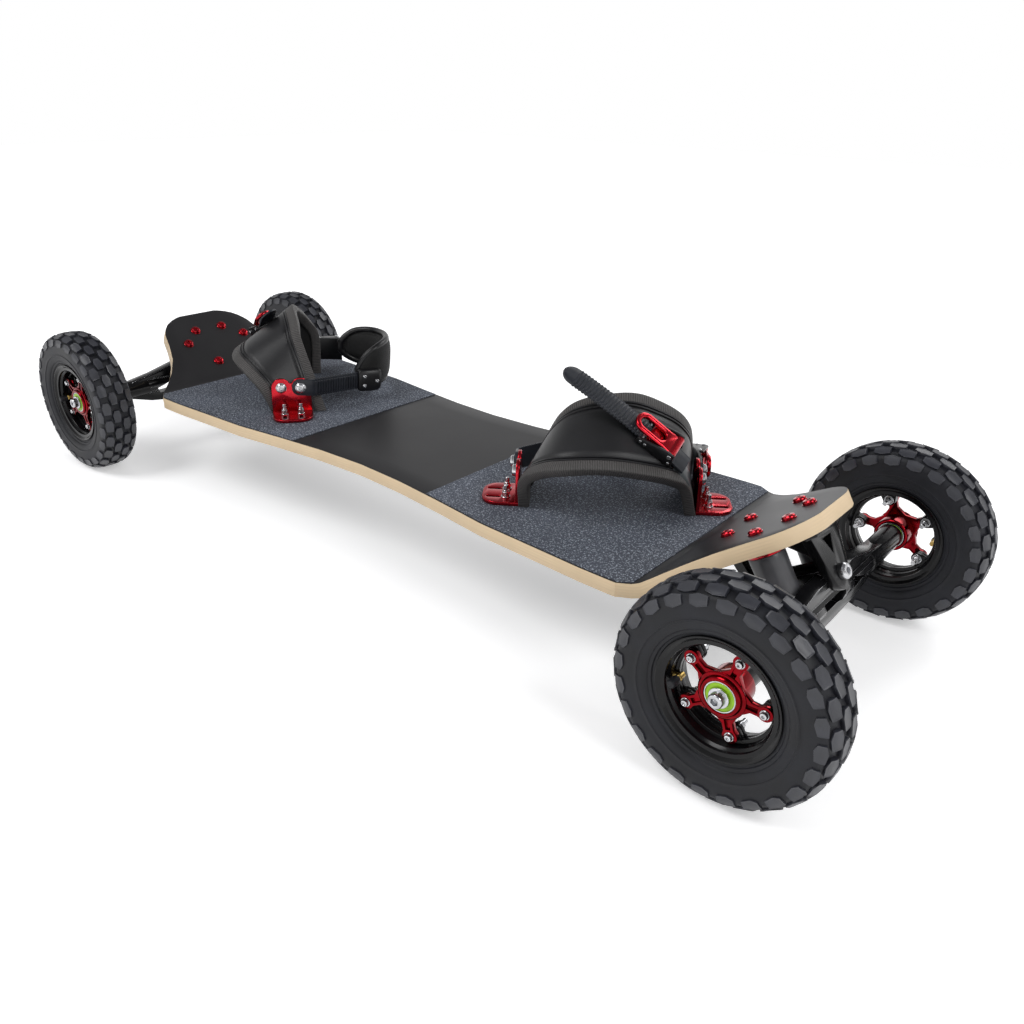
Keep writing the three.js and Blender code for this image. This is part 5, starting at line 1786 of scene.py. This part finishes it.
def inflated(piece, voxel, cap):
    """Stuffs a soft piece: an even mesh, then cloth under pressure. The cap in millimetres is how
    far a point may move."""
    use(piece)
    piece.data.remesh_voxel_size = voxel
    bpy.ops.object.voxel_remesh()
    before = [vertex.co.copy() for vertex in piece.data.vertices]
    cloth = piece.modifiers.new("Cloth", "CLOTH")
    cloth.settings.use_pressure = True
    cloth.settings.uniform_pressure_force = 3
    cloth.settings.effector_weights.gravity = 0
    cloth.settings.tension_stiffness = 25
    scene = bpy.context.scene
    for current in range(1, 13):
        scene.frame_set(current)
    bpy.ops.object.modifier_apply(modifier=cloth.name)
    scene.frame_set(1)
    for vertex, start in zip(piece.data.vertices, before):
        way = vertex.co - start
        if way.length > cap * MM:
            vertex.co = start + way.normalized() * cap * MM
    return subdivided(piece)


def piping(name, points, radius):
    """A closed round cord through the points."""
    bpy.ops.object.select_all(action="DESELECT")
    bpy.ops.curve.primitive_nurbs_path_add()
    piece = bpy.context.object
    piece.name = name
    curve = piece.data
    curve.splines.clear()
    spline = curve.splines.new("POLY")
    spline.points.add(len(points) - 1)
    for item, place in zip(spline.points, points):
        item.co = (*(Vector(place) * MM), 1)
    spline.use_cyclic_u = True
    curve.bevel_depth = radius * MM
    curve.bevel_resolution = 4
    use(piece)
    bpy.ops.object.convert(target="MESH")
    return bpy.context.object


# The stage: places and lamp sizes in metres, angles in radians and the lens in millimetres

LAMPS = (
    ("key", (-0.9, -1.9, 2.8), (1.5, 1.5), "key"),
    ("side", (2.5, -0.3, 2.1), (1.2, 1.2), "fill"),
    ("back", (0.4, 2.6, 2.2), (2.4, 0.9), "fill"),
)
LIT_POINT = (0, 0, 0.1)
STUDIO_TOP = (0.2, 0.2, 0.21, 1)
FLOOR_SIZE = 14
CAMERA_AT = (0.7609, -0.7533, 0.5352)
CAMERA_YAW = -0.693
CAMERA_PITCH = 0.448
CAMERA_ROLL = 0.022
LENS = 31.63
SENSOR = 36

class MakeStage(bpy.types.Operator):
    """The pale floor, the soft lights and the camera"""
    bl_idname = "board.stage"
    bl_label = "Stage"

    def execute(self, context):
        settings = context.scene.board_stage
        scene = context.scene
        scene.view_settings.view_transform = "Standard"
        bpy.ops.object.select_all(action="DESELECT")
        bpy.ops.mesh.primitive_plane_add(size=FLOOR_SIZE)
        floor = context.object
        floor.name = "floor"
        dressed(floor, floor_finish(settings))
        world = bpy.data.worlds.new("studio")
        world.use_nodes = True
        scene.world = world
        tree = world.node_tree
        path = tree.nodes.new("ShaderNodeLightPath")
        coords = tree.nodes.new("ShaderNodeTexCoord")
        way = node(tree, "ShaderNodeSeparateXYZ", in_0=coords.outputs["Generated"])
        height = ranged(tree, way.outputs["Z"], 0.1, 0.7)
        studio = blend_colours(tree, height, WHITE, STUDIO_TOP)
        level = settings.ambient
        ambient = (level, level, level * 1.03, 1)
        lit = blend_colours(tree, path.outputs["Is Glossy Ray"], ambient, studio)
        seen = highest(tree, path.outputs["Is Camera Ray"], path.outputs["Is Transmission Ray"])
        shown = blend_colours(tree, seen, lit, WHITE)
        tree.links.new(shown, tree.nodes["Background"].inputs["Color"])
        for name, place, size, power in LAMPS:
            bpy.ops.object.light_add(type="AREA", location=place)
            lamp = context.object
            lamp.name = f"{name} light"
            lamp.data.shape = "RECTANGLE"
            lamp.data.size, lamp.data.size_y = size
            lamp.data.energy = getattr(settings, power)
            aim = Vector(LIT_POINT) - Vector(place)
            lamp.rotation_euler = aim.to_track_quat("-Z", "Y").to_euler()
        self.camera(context)
        return {"FINISHED"}

    def camera(self, context):
        """The viewpoint, solved on the four wheels."""
        bpy.ops.object.camera_add(location=CAMERA_AT)
        camera = context.object
        camera.data.sensor_width = SENSOR
        camera.data.lens = LENS
        camera.data.clip_start = 0.01
        yaw, pitch, roll = CAMERA_YAW, CAMERA_PITCH, CAMERA_ROLL
        level = math.cos(pitch)
        ahead = Vector((math.sin(yaw) * level, math.cos(yaw) * level, -math.sin(pitch)))
        right = Vector((math.cos(yaw), -math.sin(yaw), 0))
        up = right.cross(ahead)
        tilted = right * math.cos(roll) + up * math.sin(roll)
        upright = up * math.cos(roll) - right * math.sin(roll)
        basis = Matrix((tilted, upright, -ahead)).transposed().to_4x4()
        camera.matrix_world = Matrix.Translation(camera.location) @ basis
        context.scene.camera = camera


def floor_finish(settings):
    """A pale floor that shows white to the camera and keeps the shadows."""
    material = bpy.data.materials.new("floor")
    material.use_nodes = True
    tree = material.node_tree
    shader = tree.nodes["Principled BSDF"]
    shader.inputs["Base Color"].default_value = (*settings.floor, 1)
    shader.inputs["Roughness"].default_value = 0.9
    path = tree.nodes.new("ShaderNodeLightPath")
    seen = highest(tree, path.outputs["Is Camera Ray"], path.outputs["Is Glossy Ray"])
    seen = highest(tree, seen, path.outputs["Is Transmission Ray"])
    coords = tree.nodes.new("ShaderNodeTexCoord")
    away = node(tree, "ShaderNodeVectorMath", operation="LENGTH", in_0=coords.outputs["Object"])
    level = ranged(tree, away.outputs["Value"], 0.9, 2.2, 0.42, 1.0)
    glow = node(tree, "ShaderNodeMath", operation="MULTIPLY", in_0=seen, in_1=level)
    shader.inputs["Emission Color"].default_value = WHITE
    tree.links.new(glow.outputs[0], shader.inputs["Emission Strength"])
    return material


OPERATORS = (
    MakeDeck, MakeDeckBolts, MakeTyres, MakeRims, MakeHubs, MakeBearings, MakeAxles, MakeRimBolts,
    MakeValves, MakeTrucks, MakeDampers, MakeShells, MakeInstepLadders, MakeRatchets, MakeBrackets,
    MakeHeelStraps, MakeStage,
)
SETTINGS = {
    "board_deck": DeckSettings,
    "board_wheels": WheelSettings,
    "board_truck": TruckSettings,
    "board_metals": MetalSettings,
    "board_bindings": BindingSettings,
    "board_stage": StageSettings,
}


class BoardPanel(bpy.types.Panel):
    """The mountainboard's pieces, one button each"""
    bl_idname = "VIEW3D_PT_board"
    bl_label = "Mountainboard"
    bl_space_type = "VIEW_3D"
    bl_region_type = "UI"
    bl_category = "Mountainboard"

    def draw(self, context):
        for name, group_type in SETTINGS.items():
            box = self.layout.box()
            for key in group_type.__annotations__:
                box.prop(getattr(context.scene, name), key)
        for operator in OPERATORS:
            self.layout.operator(operator.bl_idname)


def register():
    for item in (*SETTINGS.values(), *OPERATORS, BoardPanel):
        bpy.utils.register_class(item)
    for name, group_type in SETTINGS.items():
        setattr(bpy.types.Scene, name, PointerProperty(type=group_type))


def unregister():
    for name in SETTINGS:
        delattr(bpy.types.Scene, name)
    for item in (BoardPanel, *reversed(OPERATORS), *reversed(SETTINGS.values())):
        bpy.utils.unregister_class(item)


def main():
    register()
    for operator in OPERATORS:
        area, name = operator.bl_idname.split(".")
        getattr(getattr(bpy.ops, area), name)()


if __name__ == "__main__":
    main()
